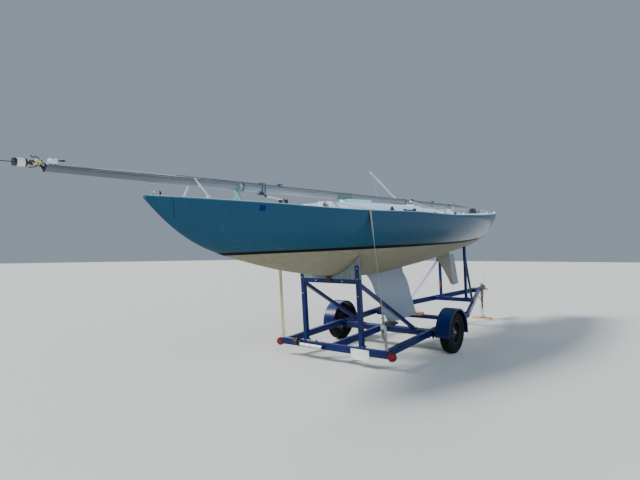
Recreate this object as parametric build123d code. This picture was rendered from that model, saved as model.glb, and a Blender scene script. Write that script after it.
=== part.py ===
from build123d import *
import math
import os

# A thirty-foot racing keelboat parked on its own single-axle road trailer.
#
# The boat lies backwards on the trailer: its bow overhangs the trailer's rear
# and the trailer's tongue runs out beneath the stern.  Millimetres throughout.
# Row frame: +X towards the bow, +Y to port, +Z up, ground at Z = 0.
#
# Two local frames are used while modelling, and both are placed at the end.
# Boat frame: x is forward of the stem head, so negative along the hull, and
# z = 0 is the waterline.  Rig frame: x is forward of the axle, z = 0 is the
# wheel centres, and the trailer's steel lies level in it.

# Placing, row frame
BOAT_PITCH = 3.2            # degrees, stern up
RIG_PITCH = 4.65            # degrees, tongue up on its jack
STEM_X = 4873.0             # stem head ahead of the axle
WATERLINE_Z = 1512.0        # waterline above the ground, below the stem head

# Hull table: distance aft of the stem head, half beam, sheer height, keel line
STATIONS = [
    (30, 32, 678, 647), (200, 99, 668, 479), (450, 192, 654, 285),
    (800, 314, 634, 104), (1250, 459, 609, -39), (1800, 619, 573, -182),
    (2500, 780, 534, -319), (3200, 901, 515, -410), (4000, 1000, 503, -466),
    (5000, 1062, 466, -433), (6000, 1050, 464, -377), (7000, 950, 477, -288),
    (7800, 811, 501, -232), (8500, 657, 524, -159), (9000, 524, 544, -42),
    (9450, 379, 557, 143),
]
TOPSIDE_POWER = 1.587       # fullness of the section below the sheer
BILGE_POWER = 1.615         # fullness of the section beside the centre line
SECTION_STEPS = [0, 0.12, 0.27, 0.43, 0.58, 0.72, 0.83, 0.91, 0.965, 1.0]
LOA = 9300.0
TRANSOM_RAKE = 17.0         # degrees
DECK_EDGE = 12.0            # deck's vertical edge above the sheer
CAMBER = 0.055              # deck crown over half beam
# Paint line: distance aft of the stem head, height above the waterline
PAINT_LINE = [(0, 36), (3000, 0), (6200, -40), (7400, -30), (8400, 60), (9300, 190), (9700, 240)]
BEYOND = 2000.0             # reach of cutting blocks past the object

# Cockpit well, boat frame
COCKPIT_FRONT = 3050.0
COCKPIT_AFT = 6900.0
COCKPIT_HALF = 430.0
COCKPIT_AFT_HALF = 330.0
COCKPIT_CORNER = 150.0
COCKPIT_WAIST = (1400.0, 700.0, 0.35)    # where the sides start to draw in, and by how much midway
DRAW_IN = 0.16              # slope of the sides where they draw in
SOLE_Z = 30.0
LINER = 14.0
COAMING_T = 26.0
COAMING_LAP = (40.0, 200.0)  # outer and inner outline ahead of the cuddy's back
COAMING_TOP = [(5000, 640), (5600, 612), (6300, 588), (6980, 566)]

# Cuddy, boat frame
CUDDY_FRONT = 2480.0
CUDDY_AFT = 5150.0
CUDDY_TOP = 702.0
CUDDY_WALL = 13.0
CUDDY_FRONT_HALF = 250.0
CUDDY_AFT_HALF = 470.0
CUDDY_FOOT_Z = 380.0
CUDDY_HEAD_Z = 800.0
CUDDY_LEAN = 66.0           # how far the side walls lean in over that height
CUDDY_SIDE = [(4300, 0), (3300, -62)]    # distance aft, half beam against the one at its back
CUDDY_NOSE = (120.0, 25.0, 0.62)        # shoulder and flank behind the nose, flank's share of the half beam
CUDDY_PAST = (30.0, 12.0)   # how far the plan runs on past the back, and widens there
CUDDY_BACK_RAKE = 12.0      # degrees
CUDDY_BACK_Z = 500.0        # height at which the back stands at its place
ROOF_HALF = 800.0
# Roof line: distance aft, drop below the cuddy's top, side fall of the crown
CUDDY_ROOF = [(2300, 72, 54), (2750, 22, 84), (3500, 0, 102), (4400, 3, 102), (5300, 10, 102)]

# Fin keel rows: leading edge, trailing edge, height, thickness
KEEL_ROWS = [
    (3970, 5287, -400, 188), (4030, 5247, -470, 142), (4141, 5310, -567, 128), (4318, 5500, -860, 122),
    (4500, 5612, -1109, 114), (4622, 5705, -1288, 104), (4735, 5752, -1371, 88),
]
# Foil half section: share of the chord, half thickness over the thickness
FOIL = [(0, 0), (0.02, 0.20), (0.08, 0.37), (0.22, 0.49), (0.42, 0.5), (0.65, 0.38), (0.85, 0.19),
        (1.0, 0.03)]

# Skeg and rudder, boat frame: the stock's axis is given by two points
STOCK_TOP = (7110.0, 700.0)
STOCK_BOTTOM = (7551.0, -1010.0)
STOCK_R = 17.0
STOCK_FROM = 620.0          # along the axis from its bottom point
STOCK_LEN = 1125.0
TRUNK_GAP = 0.5
TRUNK_LOW = 120.0           # how far below the stock's end the hull is bored
SKEG_GAP = 31.0             # skeg's back edge ahead of the stock's axis
# Skeg rows: height, leading edge, thickness
SKEG_ROWS = [(-180, 6480, 62), (-347, 6725, 56), (-680, 7135, 50), (-985, 7455, 44)]
SKEG_FOIL = [(0.04, 0.17), (0.16, 0.31), (0.4, 0.44), (0.7, 0.5), (1.0, 0.5)]
# Rudder rows: height, chord, thickness
RUDDER_ROWS = [(-330, 262, 46), (-680, 292, 44), (-1012, 318, 40)]
RUDDER_MIDDLE = (0.45, 0.72)    # place along the chord and half thickness of the hollowing sides
RUDDER_EDGE = 3.0           # half thickness of the trailing edge
TILLER_LEN = 1470.0
TILLER_AT = 1690.0          # tiller's head along the axis from its bottom point
TILLER_RISE = [(0, 4), (420, 34), (950, 98)]
TILLER_TIP_RISE = 150.0
TILLER_TIP_BACK = 75.0
TILLER_W = 15.0             # half height of the tiller's section
TILLER_H = 19.0             # half breadth of the tiller's section
KNOB_R = 27.0
CHEEK = (170.0, 46.0, 62.0)
CHEEK_SLOT = (80.0, 30.0, 80.0)
CHEEK_ROUND = 10.0
CHEEK_ON = (30.0, 60.0)     # cheeks' centre and tiller's start ahead of the axis
CHEEK_TILT = 8.0            # degrees

# Mast, lying along the deck
MAST_TIP_A = -905.0
MAST_FOOT_A = 8900.0
MAST_H = 100.0
MAST_W = 78.0
MAST_TIP_H = 66.0
MAST_TIP_W = 53.0
MAST_TAPER = 1700.0         # length of the tapered head
MAST_TIP_Z = 886.0
MAST_FOOT_Z = 718.0
MAST_FOOT_Y = -165.0        # the heel lies to starboard of the tiller
HEEL_PLUG = 34.0
HEEL_IN = (14.0, 20.0)      # how much narrower and lower the heel's plug is
SPREADER_A = 5030.0         # its tip, swept forward of its root
SPREADER_ROOT_A = 5330.0
SPREADER_TIP = (-490.0, 1356.0)     # y and z of the end
SPREADER_ROOT_UP = 30.0
SPREADER_W = (48.0, 40.0)
SPREADER_FLAT = 0.72
ANTENNA_UP = 29.0           # above the mast's tip
ANTENNA_OUT = 55.0
ANTENNA_ROD = (13.0, 190.0)
ANTENNA_DRUM = (34.0, 98.0, 123.0)      # radius, length, centre along the rod
WHIP = (3.5, 849.0)         # radius, length from the drum's centre
GLOBE = (-80.0, 58.0, 26.0)     # ahead of the tip, above it, radius
GLOBE_LEN = 36.0            # straight length between its round ends
GLOBE_STEM = (14.0, 40.0, -25.0)

# Winches on the side decks: distance aft, distance off the centre
WINCH_AT = (5750.0, 620.0)
# Winch half section: radius, height above the deck
WINCH = [(0, -25), (50, -25), (50, 14), (38, 22), (31, 40), (31, 66), (42, 84), (42, 92), (24, 98), (0, 98)]

# Rests under the mast
FOAM = (3560.0, 4260.0, 150.0, 140.0)   # from, to, width, height
FOAM_Z = 700.0
# Crossed boards near the bow: place, half spread at the deck and above, height of their ends
CRUTCH_BOW = (1290.0, 95.0, 80.0, 12.0)
CRUTCH_BOARD = (42.0, 20.0)     # breadth, thickness
CRUTCH_STERN = (7900.0, 170.0, 60.0)    # place, width, thickness
CRUTCH_SINK = 25.0

# Trailer, rig frame
WHEEL_R = 335.0
TRACK = 2235.0
TYRE_W = 185.0
RIM_R = 190.0
SPINDLE_R = 20.0
SPINDLE_GAP = 0.4
TUBE_H = 100.0
TUBE_W = 60.0
FRAME_Z = 45.0              # centre of the frame tubes above the wheel centres
RAIL_Y = 903.0
REAR_X = 1790.0
REAR_HALF = 962.0
MAIN_X = 165.0
MAIN_BEAM = (150.0, 60.0)
MAIN_DROP = 35.0
CENTRE_W = 50.0
BEND_X = -1250.0
BEND_LAP = 12.0
APEX_X = -4180.0
APEX_Y = 62.0
COUPLER_X = -4700.0
TONGUE_T = 84.0
TONGUE_LAP = 120.0
TONGUE_END = 60.0
BALL_R = 25.8
BALL_DROP = 6.0
COUPLER = (150.0, 84.0, 84.0)
COUPLER_ON = (20.0, 6.0)
COUPLER_ROUND = 30.0
KEEL_BEAM_X = -985.0
KEEL_BEAM = (110.0, 60.0)
KEEL_BEAM_DROP = 45.0
STERN_BEAM = (70.0, 920.0, 80.0)

# Cradle
POST_X = 1752.0
POST_Y = 509.0
POST_T = 64.0
POST_TOP = 1262.0
BAR_Z = 1030.0              # centre of the cradle's crossbar
BAR = (60.0, 66.0)
BRACE_T = 50.0
BRACE_TOP = (-20.0, 985.0)
BRACE_FOOT = (10.0, 50.0)
BRACE_CUT = (400.0, 200.0)  # the block that trims a brace on the main beam
PANEL_T = 40.0
PANEL_SIDE = 40.0           # reach of the panel past the posts' centres
PANEL_AHEAD = 10.0
PANEL_H = 500.0
CARPET_T = 14.0
STERN_POST_X = -2770.0
STERN_POST_Y = 290.0
STERN_POST_T = 50.0
STERN_BRACE_TOP = 1040.0    # height on the port stern post
STERN_BRACE_FOOT = (-2330.0, 20.0)  # place along the drawbar, depth into its top
STERN_BRACE_T = 40.0
# Keel blocks: ahead of the beam's centre, length, width, top above the wheel centres
PAD_FRONT = (-105.0, 190.0, 220.0, 78.0)
PAD_AFT = (20.0, 170.0, 240.0, 70.0)

# Running gear
AXLE_R = 32.0
AXLE_LEN = 1960.0
AXLE_DROP = 78.0
ARM_Y = 978.0
ARM = (70.0, 26.0, 84.0)
SPINDLE_Y = 1050.0
SPINDLE_LEN = 130.0
SPRING_HALF = 340.0
SPRING_W = 60.0
SPRING_T = 22.0
SPRING_SAG = 19.0
SPRING_TOP = -5.0
SPRING_FLATTER = 2.0        # the lowest leaf bows that much more
# Tyre half section: radius, place across the wheel from its outer face
TYRE_WALL = [(RIM_R, 20.0), (RIM_R + 55.0, 0.0), (WHEEL_R - 40.0, 4.0), (WHEEL_R - 8.0, 28.0)]
TREAD_EDGE = 40.0
# Rim half section: radius, place across the wheel, outer side up
RIM_PROFILE = [
    (RIM_R, -72), (RIM_R, 72), (RIM_R - 14, 72), (RIM_R - 20, 50), (RIM_R - 24, -8), (138, -20), (112, 8),
    (74, 8), (48, 4), (40, 12), (40, 40), (28, 52), (0, 52), (0, 12), (SPINDLE_R + SPINDLE_GAP, 12),
    (SPINDLE_R + SPINDLE_GAP, -112), (38, -112), (42, -60), (52, -8), (88, -8), (108, -32),
    (RIM_R - 20, -32), (RIM_R - 14, -72),
]
FENDER_R = 392.0
FENDER_W = 236.0
FENDER_T = 4.0
FENDER_LIP = 26.0
FENDER_KEEP = [(0, -60), (900, 40), (900, 900), (-900, 900), (-900, -100)]
FENDER_BRACKET = (352.0, 72.0, 40.0, 30.0)

# Lamps, plate, jack
LAMP_R = 62.0
LAMP_TIP_R = 44.0
LAMP_DEPTH = (40.0, 30.0)
LAMP_OUT = 60.0
LAMP_ON = (10.0, -20.0)
LAMP_ARM = (30.0, 60.0, 30.0)
PLATE = (6.0, 305.0, 155.0)
PLATE_Y = 515.0
PLATE_DROP = 44.0
JACK_X = -4340.0
JACK_Y = 74.0
JACK_R = 29.0
JACK_BORE = 24.5
JACK_FOOT = -330.0          # lower end of the outer tube
JACK_LEN = 520.0
JACK_CAP = 21.0
JACK_CLAMP = ((110.0, 6.0, 84.0), (80.0, 30.0, 60.0))
CRANK_Z = 160.0             # height of the crank's shaft
CRANK_R = 8.0
CRANK_OUT = 52.0            # arm's centre beyond the jack's centre
CRANK_ARM = (24.0, 8.0, 130.0)
CRANK_GRIP = (12.0, 105.0)  # radius, length
LEG_R = 24.0
LEG_FROM = -680.0
LEG_LEN = 550.0
FOOT = (150.0, 110.0, 10.0)
PLANK = (190.0, 430.0, 34.0)
PLANK_Y = -10.0

parts = {}                  # node name: (shape, frame)
SIDES = (("port", 1), ("starboard", -1))
ON_END = (Align.CENTER, Align.CENTER, Align.MIN)


def boat(name, shape):
    parts[name] = (shape, "boat")


def rig(name, shape):
    parts[name] = (shape, "rig")


def row(name, shape):
    parts[name] = (shape, "row")


def biggest(shape):
    return shape.solids().sort_by(SortBy.VOLUME)[-1]


def lowest(shape):
    return shape.solids().sort_by(Axis.Z)[0]


def block(size, at=(0, 0, 0)):
    return Pos(*at) * Box(*size)


def slab(face, half=BEYOND):
    """A face drawn in x and z, as thick as twice half across the object."""
    return extrude(Plane.XZ * face, half, both=True)


def table(a, col):
    """Smooth value of a hull column at a distance aft, cubic through the stations."""
    s = STATIONS
    a = min(max(a, s[0][0]), s[-1][0])
    i = max(k for k in range(len(s) - 1) if s[k][0] <= a)

    def slope(k):
        lo, hi = max(k - 1, 0), min(k + 1, len(s) - 1)
        return (s[hi][col] - s[lo][col]) / (s[hi][0] - s[lo][0])

    h = s[i + 1][0] - s[i][0]
    t = (a - s[i][0]) / h
    start = (2 * t**3 - 3 * t**2 + 1) * s[i][col] + (t**3 - 2 * t**2 + t) * h * slope(i)
    return start + (-2 * t**3 + 3 * t**2) * s[i + 1][col] + (t**3 - t**2) * h * slope(i + 1)


def beam(a):
    return table(a, 1)


def sheer(a):
    return table(a, 2)


def keel_line(a):
    return table(a, 3)


def deck_z(a, y=0.0):
    """Height of the crowned deck."""
    b = beam(a)
    return sheer(a) + DECK_EDGE + CAMBER * b * (1 - (y / b) ** 2)


# Hull and deck
def section_wire(a):
    """One station: the skin below the sheer, the deck's edge and its crown."""
    s, c, b = sheer(a), keel_line(a), beam(a)
    half = []
    for t in SECTION_STEPS:
        y = b * max(1 - t ** TOPSIDE_POWER, 0) ** (1 / BILGE_POWER)
        half.append((-a, y, s - (s - c) * t))
    skin = half + [(x, -y, z) for x, y, z in reversed(half[:-1])]
    top = s + DECK_EDGE
    return Wire([
        Spline(*skin),
        Line(skin[-1], (-a, -b, top)),
        ThreePointArc((-a, -b, top), (-a, 0, top + CAMBER * b), (-a, b, top)),
        Line((-a, b, top), skin[0]),
    ])


def sheer_slab():
    """Everything below the sheer line, by a curve drawn in profile."""
    line = [(-s[0], s[2]) for s in STATIONS]
    fore, aft = line[0], line[-1]
    back, front = aft[0] - BEYOND, fore[0] + BEYOND
    corners = [(back, aft[1]), (back, -BEYOND), (front, -BEYOND), (front, fore[1])]
    return slab(make_face([Spline(*line), Polyline(aft, *corners, fore)]))


def whole_boat_body():
    """Hull and deck as one body, with the raked transom cut."""
    body = Solid.make_loft([section_wire(s[0]) for s in STATIONS])
    behind = block((BEYOND, 2 * BEYOND, 2 * BEYOND), (-BEYOND / 2, 0, 0))
    return body - Pos(-LOA, 0, sheer(LOA)) * Rot(0, -TRANSOM_RAKE, 0) * behind


def cockpit_outline(grow=0.0, front=COCKPIT_FRONT, aft=COCKPIT_AFT):
    """Plan of the cockpit: straight sides that draw in to a round aft end."""
    fore = -front + grow
    half = COCKPIT_HALF + grow
    aft_half = COCKPIT_AFT_HALF + grow
    back = -aft - grow
    corner = back + COCKPIT_CORNER + grow
    start, middle, share = COCKPIT_WAIST
    port = [(back + start, half), (back + middle, half - (half - aft_half) * share), (corner, aft_half)]
    starboard = [(x, -y) for x, y in reversed(port)]
    return make_face([
        Line((fore, half), port[0]),
        Spline(*port, tangents=[(-1, 0), (-1, -DRAW_IN)]),
        ThreePointArc(port[-1], (back, 0), starboard[0]),
        Spline(*starboard, tangents=[(1, -DRAW_IN), (1, 0)]),
        Line(starboard[-1], (fore, -half)),
        Line((fore, -half), (fore, half)),
    ])


def well(wall=0.0):
    """The cockpit's space down to the sole, inside a wall."""
    return Pos(0, 0, SOLE_Z + wall) * extrude(cockpit_outline(-wall), CUDDY_TOP)


# Rudder axis
AXIS_DIR = Vector(STOCK_BOTTOM[0] - STOCK_TOP[0], 0, STOCK_TOP[1] - STOCK_BOTTOM[1]).normalized()
AXIS_AT = Vector(-STOCK_BOTTOM[0], 0, STOCK_BOTTOM[1])


def on_axis(along, radius, length):
    """A cylinder on the rudder's axis, from a distance along it."""
    plane = Plane(origin=AXIS_AT + AXIS_DIR * along, z_dir=AXIS_DIR)
    return plane * Cylinder(radius, length, align=ON_END)


def axis_a(z):
    """Distance aft of the rudder's axis at a height."""
    k = (z - STOCK_BOTTOM[1]) / (STOCK_TOP[1] - STOCK_BOTTOM[1])
    return STOCK_BOTTOM[0] + k * (STOCK_TOP[0] - STOCK_BOTTOM[0])


def below_paint_line():
    line = [(-a, z) for a, z in PAINT_LINE]
    floor = -BEYOND
    face = make_face([
        Spline(*line),
        Line(line[-1], (line[-1][0], floor)),
        Line((line[-1][0], floor), (line[0][0], floor)),
        Line((line[0][0], floor), line[0]),
    ])
    return slab(face)


# Cuddy
def cuddy_plan(inset, z):
    fore = CUDDY_FRONT + inset
    h0, h1 = CUDDY_FRONT_HALF - inset, CUDDY_AFT_HALF - inset
    shoulder, flank, share = CUDDY_NOSE
    side = [(-CUDDY_AFT - CUDDY_PAST[0], h1 + CUDDY_PAST[1])]
    side += [(-a, h1 + wider) for a, wider in CUDDY_SIDE]
    side.append((-fore - shoulder, h0))
    nose = [(-fore - flank, h0 * share), (-fore, 0), (-fore - flank, -h0 * share)]
    port = [(x, y, z) for x, y in side]
    starboard = [(x, -y, z) for x, y in reversed(side)]
    return Face(Wire([
        Spline(*port),
        Spline(port[-1], *[(x, y, z) for x, y in nose], starboard[0]),
        Spline(*starboard),
        Line(starboard[-1], port[0]),
    ]))


def roof_face(a, z, fall):
    """A crowned section of everything below the cuddy's roof."""
    port, starboard = (-a, ROOF_HALF, z - fall), (-a, -ROOF_HALF, z - fall)
    return Face(Wire([
        ThreePointArc(starboard, (-a, 0, z), port),
        Line(port, (-a, ROOF_HALF, 0)),
        Line((-a, ROOF_HALF, 0), (-a, -ROOF_HALF, 0)),
        Line((-a, -ROOF_HALF, 0), starboard),
    ]))


def cuddy_block(inset):
    sides = loft([cuddy_plan(inset, CUDDY_FOOT_Z), cuddy_plan(inset + CUDDY_LEAN, CUDDY_HEAD_Z)], ruled=True)
    roof = loft([roof_face(a, CUDDY_TOP - drop - inset, fall) for a, drop, fall in CUDDY_ROOF])
    return sides & roof


def cuddy_shell(outer, body):
    back = Pos(-CUDDY_AFT, 0, CUDDY_BACK_Z) * Rot(0, -CUDDY_BACK_RAKE, 0)
    back = back * block((BEYOND, 2 * BEYOND, 2 * BEYOND), (-BEYOND / 2, 0, 0))
    return outer - cuddy_block(CUDDY_WALL) - back - body


def coaming_ring(body, cuddy_solid):
    """Upstand round the open part of the well, falling towards the stern."""
    outer = extrude(cockpit_outline(COAMING_T, front=CUDDY_AFT - COAMING_LAP[0]), BEYOND / 2)
    inner = extrude(cockpit_outline(front=CUDDY_AFT - COAMING_LAP[1]), BEYOND / 2)
    top = [(-a, z) for a, z in COAMING_TOP]
    outline = Polyline((top[0][0], 0), *top, (top[-1][0], 0), close=True)
    upstand = ((outer - inner) & slab(make_face(outline))) - body
    return biggest(upstand.solids().sort_by(Axis.Z)[-1] - cuddy_solid)


# Keel, skeg, rudder and tiller
def foil_wire(fore, aft, z, thick):
    port = [(-(fore + (aft - fore) * f), thick * w, z) for f, w in FOIL]
    starboard = [(x, -y, z) for x, y, z in reversed(port)]
    return Wire([Spline(*starboard[:-1], *port), Line(port[-1], starboard[0])])


def fin_keel(body):
    return Solid.make_loft([foil_wire(*r) for r in KEEL_ROWS]) - body


def skeg_wire(z, fore, w):
    chord = axis_a(z) - SKEG_GAP - fore
    port = [(-(fore + chord * f), w * k, z) for f, k in SKEG_FOIL]
    starboard = [(x, -y, z) for x, y, z in reversed(port)]
    return Wire([Spline(*starboard, (-fore, 0, z), *port), Line(port[-1], starboard[0])])


def skeg(body):
    return Solid.make_loft([skeg_wire(*r) for r in SKEG_ROWS]) - body


def blade_wire(z, chord, w):
    """Round front on the axis, hollowing to a thin square trailing edge."""
    fore = axis_a(z)
    aft = fore + chord
    r, edge = w / 2, RUDDER_EDGE
    middle, waist = fore + chord * RUDDER_MIDDLE[0], w / 2 * RUDDER_MIDDLE[1]
    return Wire([
        Spline((-fore, r, z), (-middle, waist, z), (-aft, edge, z)),
        Line((-aft, edge, z), (-aft, -edge, z)),
        Spline((-aft, -edge, z), (-middle, -waist, z), (-fore, -r, z)),
        ThreePointArc((-fore, -r, z), (-(fore - r), 0, z), (-fore, r, z)),
    ])


def rudder():
    blade = Solid.make_loft([blade_wire(*r) for r in RUDDER_ROWS])
    return blade + on_axis(STOCK_FROM, STOCK_R, STOCK_LEN)


def tiller():
    """Bent wooden tiller with a ball end, in cheeks on the stock's head."""
    head = AXIS_AT + AXIS_DIR * TILLER_AT
    cheeks = Box(*CHEEK) - block(CHEEK_SLOT, (CHEEK_ON[1], 0, 0))
    cheeks = Pos(head.X + CHEEK_ON[0], 0, head.Z) * Rot(0, -CHEEK_TILT, 0) * cheeks
    cheeks = fillet(cheeks.edges().filter_by(Axis.Y), CHEEK_ROUND) - on_axis(0, STOCK_R, BEYOND)
    start = head.X + CHEEK_ON[1]
    points = [(start + x, 0, head.Z + z) for x, z in TILLER_RISE]
    path = Spline(*points, (start + TILLER_LEN - TILLER_TIP_BACK, 0, head.Z + TILLER_TIP_RISE))
    bar = sweep(Plane(origin=path @ 0, z_dir=path % 0) * Ellipse(TILLER_W, TILLER_H), path=path)
    return bar + Pos(*(path @ 1)) * Sphere(KNOB_R) + cheeks


# Mast and what lies on it
MAST_TIP = Vector(-MAST_TIP_A, 0, MAST_TIP_Z)
MAST_VEC = Vector(MAST_TIP_A - MAST_FOOT_A, MAST_FOOT_Y, MAST_FOOT_Z - MAST_TIP_Z)
MAST_DIR = MAST_VEC.normalized()
UP = Vector(0, 0, 1)


def mast_face(along, w, h):
    plane = Plane(origin=MAST_TIP + MAST_DIR * along, x_dir=MAST_DIR.cross(UP).normalized(), z_dir=MAST_DIR)
    return plane * Ellipse(w / 2, h / 2)


def mast_point(a):
    """Centre of the mast at a distance aft of the stem head."""
    return MAST_TIP + MAST_VEC * ((a - MAST_TIP_A) / (MAST_FOOT_A - MAST_TIP_A))


def mast():
    end = MAST_VEC.length
    full = mast_face(end, MAST_W, MAST_H)
    head = mast_face(0, MAST_TIP_W, MAST_TIP_H)
    pole = loft([head, mast_face(MAST_TAPER, MAST_W, MAST_H), full], ruled=True)
    plug = mast_face(end + HEEL_PLUG, MAST_W - HEEL_IN[0], MAST_H - HEEL_IN[1])
    return pole + loft([full, plug])


def strut(p, q, w0, w1, flat):
    d = (q - p).normalized()
    side = d.cross(UP).normalized()
    ends = []
    for end, w in ((p, w0), (q, w1)):
        ends.append(Plane(origin=end, x_dir=side, z_dir=d) * Ellipse(w / 2, w * flat / 2))
    return loft(ends, ruled=True)


def spreader(pole):
    root = mast_point(SPREADER_ROOT_A) + UP * SPREADER_ROOT_UP
    return strut(root, Vector(-SPREADER_A, *SPREADER_TIP), *SPREADER_W, SPREADER_FLAT) - pole


def antenna(pole):
    rod = Cylinder(*ANTENNA_ROD)
    drum = Pos(0, 0, ANTENNA_DRUM[2]) * Cylinder(*ANTENNA_DRUM[:2])
    whip = Pos(0, 0, ANTENNA_DRUM[2]) * Cylinder(*WHIP, align=ON_END)
    foot = Pos(MAST_TIP.X + ANTENNA_OUT, 0, MAST_TIP.Z + ANTENNA_UP)
    return foot * Rot(0, 90, 0) * (rod + drum + whip) - pole


def masthead_light(pole):
    ahead, up, r = GLOBE
    globe = Rot(0, 90, 0) * Cylinder(r, GLOBE_LEN) + Pos(0, 0, GLOBE_STEM[2]) * Cylinder(*GLOBE_STEM[:2])
    globe += [Pos(end * GLOBE_LEN / 2, 0, 0) * Sphere(r) for end in (1, -1)]
    return Pos(MAST_TIP.X + ahead, 0, MAST_TIP.Z + up) * globe - pole


def foam_block(pole, cuddy_solid):
    start, end, width, height = FOAM
    middle = (start + end) / 2
    foam = block((end - start, width, height), (-middle, mast_point(middle).Y, FOAM_Z)) - pole - cuddy_solid
    return foam.solids().sort_by(Axis.Z)[-1]


def crossed_crutch(pole, body):
    """Two boards crossed under the mast, which lies in their fork."""
    a, low, high, rise = CRUTCH_BOW
    m = mast_point(a)
    foot = deck_z(a) - CRUTCH_SINK
    boards = []
    for way in (1, -1):
        start = Vector(-a, m.Y - way * low, foot)
        stop = Vector(-a, m.Y + way * high, m.Z + rise)
        boards.append(tube(start, stop, CRUTCH_BOARD[1], CRUTCH_BOARD[0]))
    return lowest(boards[0] + boards[1] - pole - body)


def crutch(at, pole, body):
    """A chock between the deck and the mast."""
    a, width, thick = at
    m = mast_point(a)
    foot = deck_z(a) - CRUTCH_SINK
    return block((thick, width, m.Z - foot), (-a, m.Y, (foot + m.Z) / 2)) - pole - body


def winch(y, body):
    """A waisted drum standing on the side deck."""
    a, out = WINCH_AT
    drum = revolve(Plane.XZ * make_face(Polyline(*WINCH, close=True)), Axis.Z)
    return Pos(-a, y * out, deck_z(a, out)) * drum - body


def build_boat():
    body = whole_boat_body()
    below_sheer = sheer_slab()
    hull = body & below_sheer
    trunk = on_axis(STOCK_FROM - TRUNK_LOW, STOCK_R + TRUNK_GAP, BEYOND)
    cut_hull = hull - well() - trunk
    paint = below_paint_line()
    boat("hull_bottom", cut_hull & paint)
    boat("hull_topsides", cut_hull - paint)
    boat("deck", body - below_sheer - well() - trunk)
    boat("cockpit_liner", (well() & hull) - well(LINER))
    cuddy_solid = cuddy_block(0)
    boat("cuddy", cuddy_shell(cuddy_solid, body))
    boat("coaming", coaming_ring(body, cuddy_solid))
    boat("keel", fin_keel(body))
    boat("skeg", skeg(body))
    boat("rudder", rudder())
    boat("tiller", tiller())
    pole = mast()
    boat("mast", pole)
    boat("spreader", spreader(pole))
    boat("antenna", antenna(pole))
    boat("masthead_light", masthead_light(pole))
    boat("foam_block", foam_block(pole, cuddy_solid))
    boat("crutch_bow", crossed_crutch(pole, body))
    boat("crutch_stern", crutch(CRUTCH_STERN, pole, body))
    for side, y in SIDES:
        boat("winch_" + side, winch(y, body))
    return hull


# Trailer frame
BOAT_LOC = Location((STEM_X, 0, WATERLINE_Z), (0, BOAT_PITCH, 0))
RIG_LOC = Location((0, 0, WHEEL_R), (0, RIG_PITCH, 0))
BOAT_IN_RIG = RIG_LOC.inverse() * BOAT_LOC
FRAME_TOP = FRAME_Z + TUBE_H / 2
MAIN_TOP = FRAME_Z - MAIN_DROP + MAIN_BEAM[1] / 2
KEEL_BEAM_TOP = FRAME_Z - KEEL_BEAM_DROP + KEEL_BEAM[1] / 2
BETWEEN_RAILS = 2 * (RAIL_Y - TUBE_W / 2)


def tube(p, q, w, h):
    """Rectangular tube between two points: w across, h upwards."""
    d = q - p
    plane = Plane(origin=p, x_dir=UP.cross(d).normalized(), z_dir=d.normalized())
    return extrude(plane * Rectangle(w, h), d.length)


def build_frame():
    rear_face = REAR_X - TUBE_W / 2
    rig("rear_beam", block((TUBE_W, 2 * REAR_HALF, TUBE_H), (REAR_X, 0, FRAME_Z)))
    main = block((MAIN_BEAM[0], BETWEEN_RAILS, MAIN_BEAM[1]), (MAIN_X, 0, FRAME_Z - MAIN_DROP))
    rig("main_beam", main)
    centre_end = Vector(MAIN_X + MAIN_BEAM[0] / 2, 0, FRAME_Z)
    rig("centre_rail", tube(Vector(rear_face, 0, FRAME_Z), centre_end, CENTRE_W, TUBE_H))
    bars = []
    for side, y in SIDES:
        rear_end = Vector(rear_face, y * RAIL_Y, FRAME_Z)
        rail = tube(rear_end, Vector(BEND_X, y * RAIL_Y, FRAME_Z), TUBE_W, TUBE_H)
        rig("rail_" + side, rail)
        bend = Vector(BEND_X + BEND_LAP, y * RAIL_Y, FRAME_Z)
        bar = biggest(tube(bend, Vector(APEX_X, y * APEX_Y, FRAME_Z), TUBE_W, TUBE_H) - rail)
        rig("drawbar_" + side, bar)
        bars.append(bar)
    keel_beam = block((KEEL_BEAM[0], BETWEEN_RAILS, KEEL_BEAM[1]), (KEEL_BEAM_X, 0, FRAME_Z - KEEL_BEAM_DROP))
    rig("keel_beam", keel_beam)
    rig("stern_beam", biggest(block(STERN_BEAM, (STERN_POST_X, 0, FRAME_Z)) - bars[0] - bars[1]))
    tongue_ends = (APEX_X + TONGUE_LAP, COUPLER_X + TONGUE_END)
    tongue_len = tongue_ends[0] - tongue_ends[1]
    tongue = block((tongue_len, TONGUE_T, TONGUE_T), (sum(tongue_ends) / 2, 0, FRAME_Z)) - bars[0] - bars[1]
    tongue = biggest(tongue)
    rig("tongue", tongue)
    rig("coupler", coupler(tongue))
    return main


def coupler(tongue):
    """Ball hitch: a rounded housing with the ball's socket open below."""
    housing = block(COUPLER, (COUPLER_X + COUPLER_ON[0], 0, FRAME_Z + COUPLER_ON[1]))
    housing = fillet(housing.edges().filter_by(Axis.Z), COUPLER_ROUND)
    ball_z = FRAME_Z - BALL_DROP
    mouth = Pos(COUPLER_X, 0, ball_z - COUPLER[2]) * Cylinder(BALL_R, COUPLER[2], align=ON_END)
    return housing - mouth - Pos(COUPLER_X, 0, ball_z) * Sphere(BALL_R) - tongue


# Axle, springs, wheels and fenders
def axle():
    bar = Pos(0, 0, -AXLE_DROP) * Rot(90, 0, 0) * Cylinder(AXLE_R, AXLE_LEN)
    for _, y in SIDES:
        bar += block((ARM[0], ARM[1], AXLE_DROP + ARM[2]), (0, y * ARM_Y, -AXLE_DROP / 2))
        bar += Pos(0, y * SPINDLE_Y, 0) * Rot(90, 0, 0) * Cylinder(SPINDLE_R, SPINDLE_LEN)
    return bar


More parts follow.
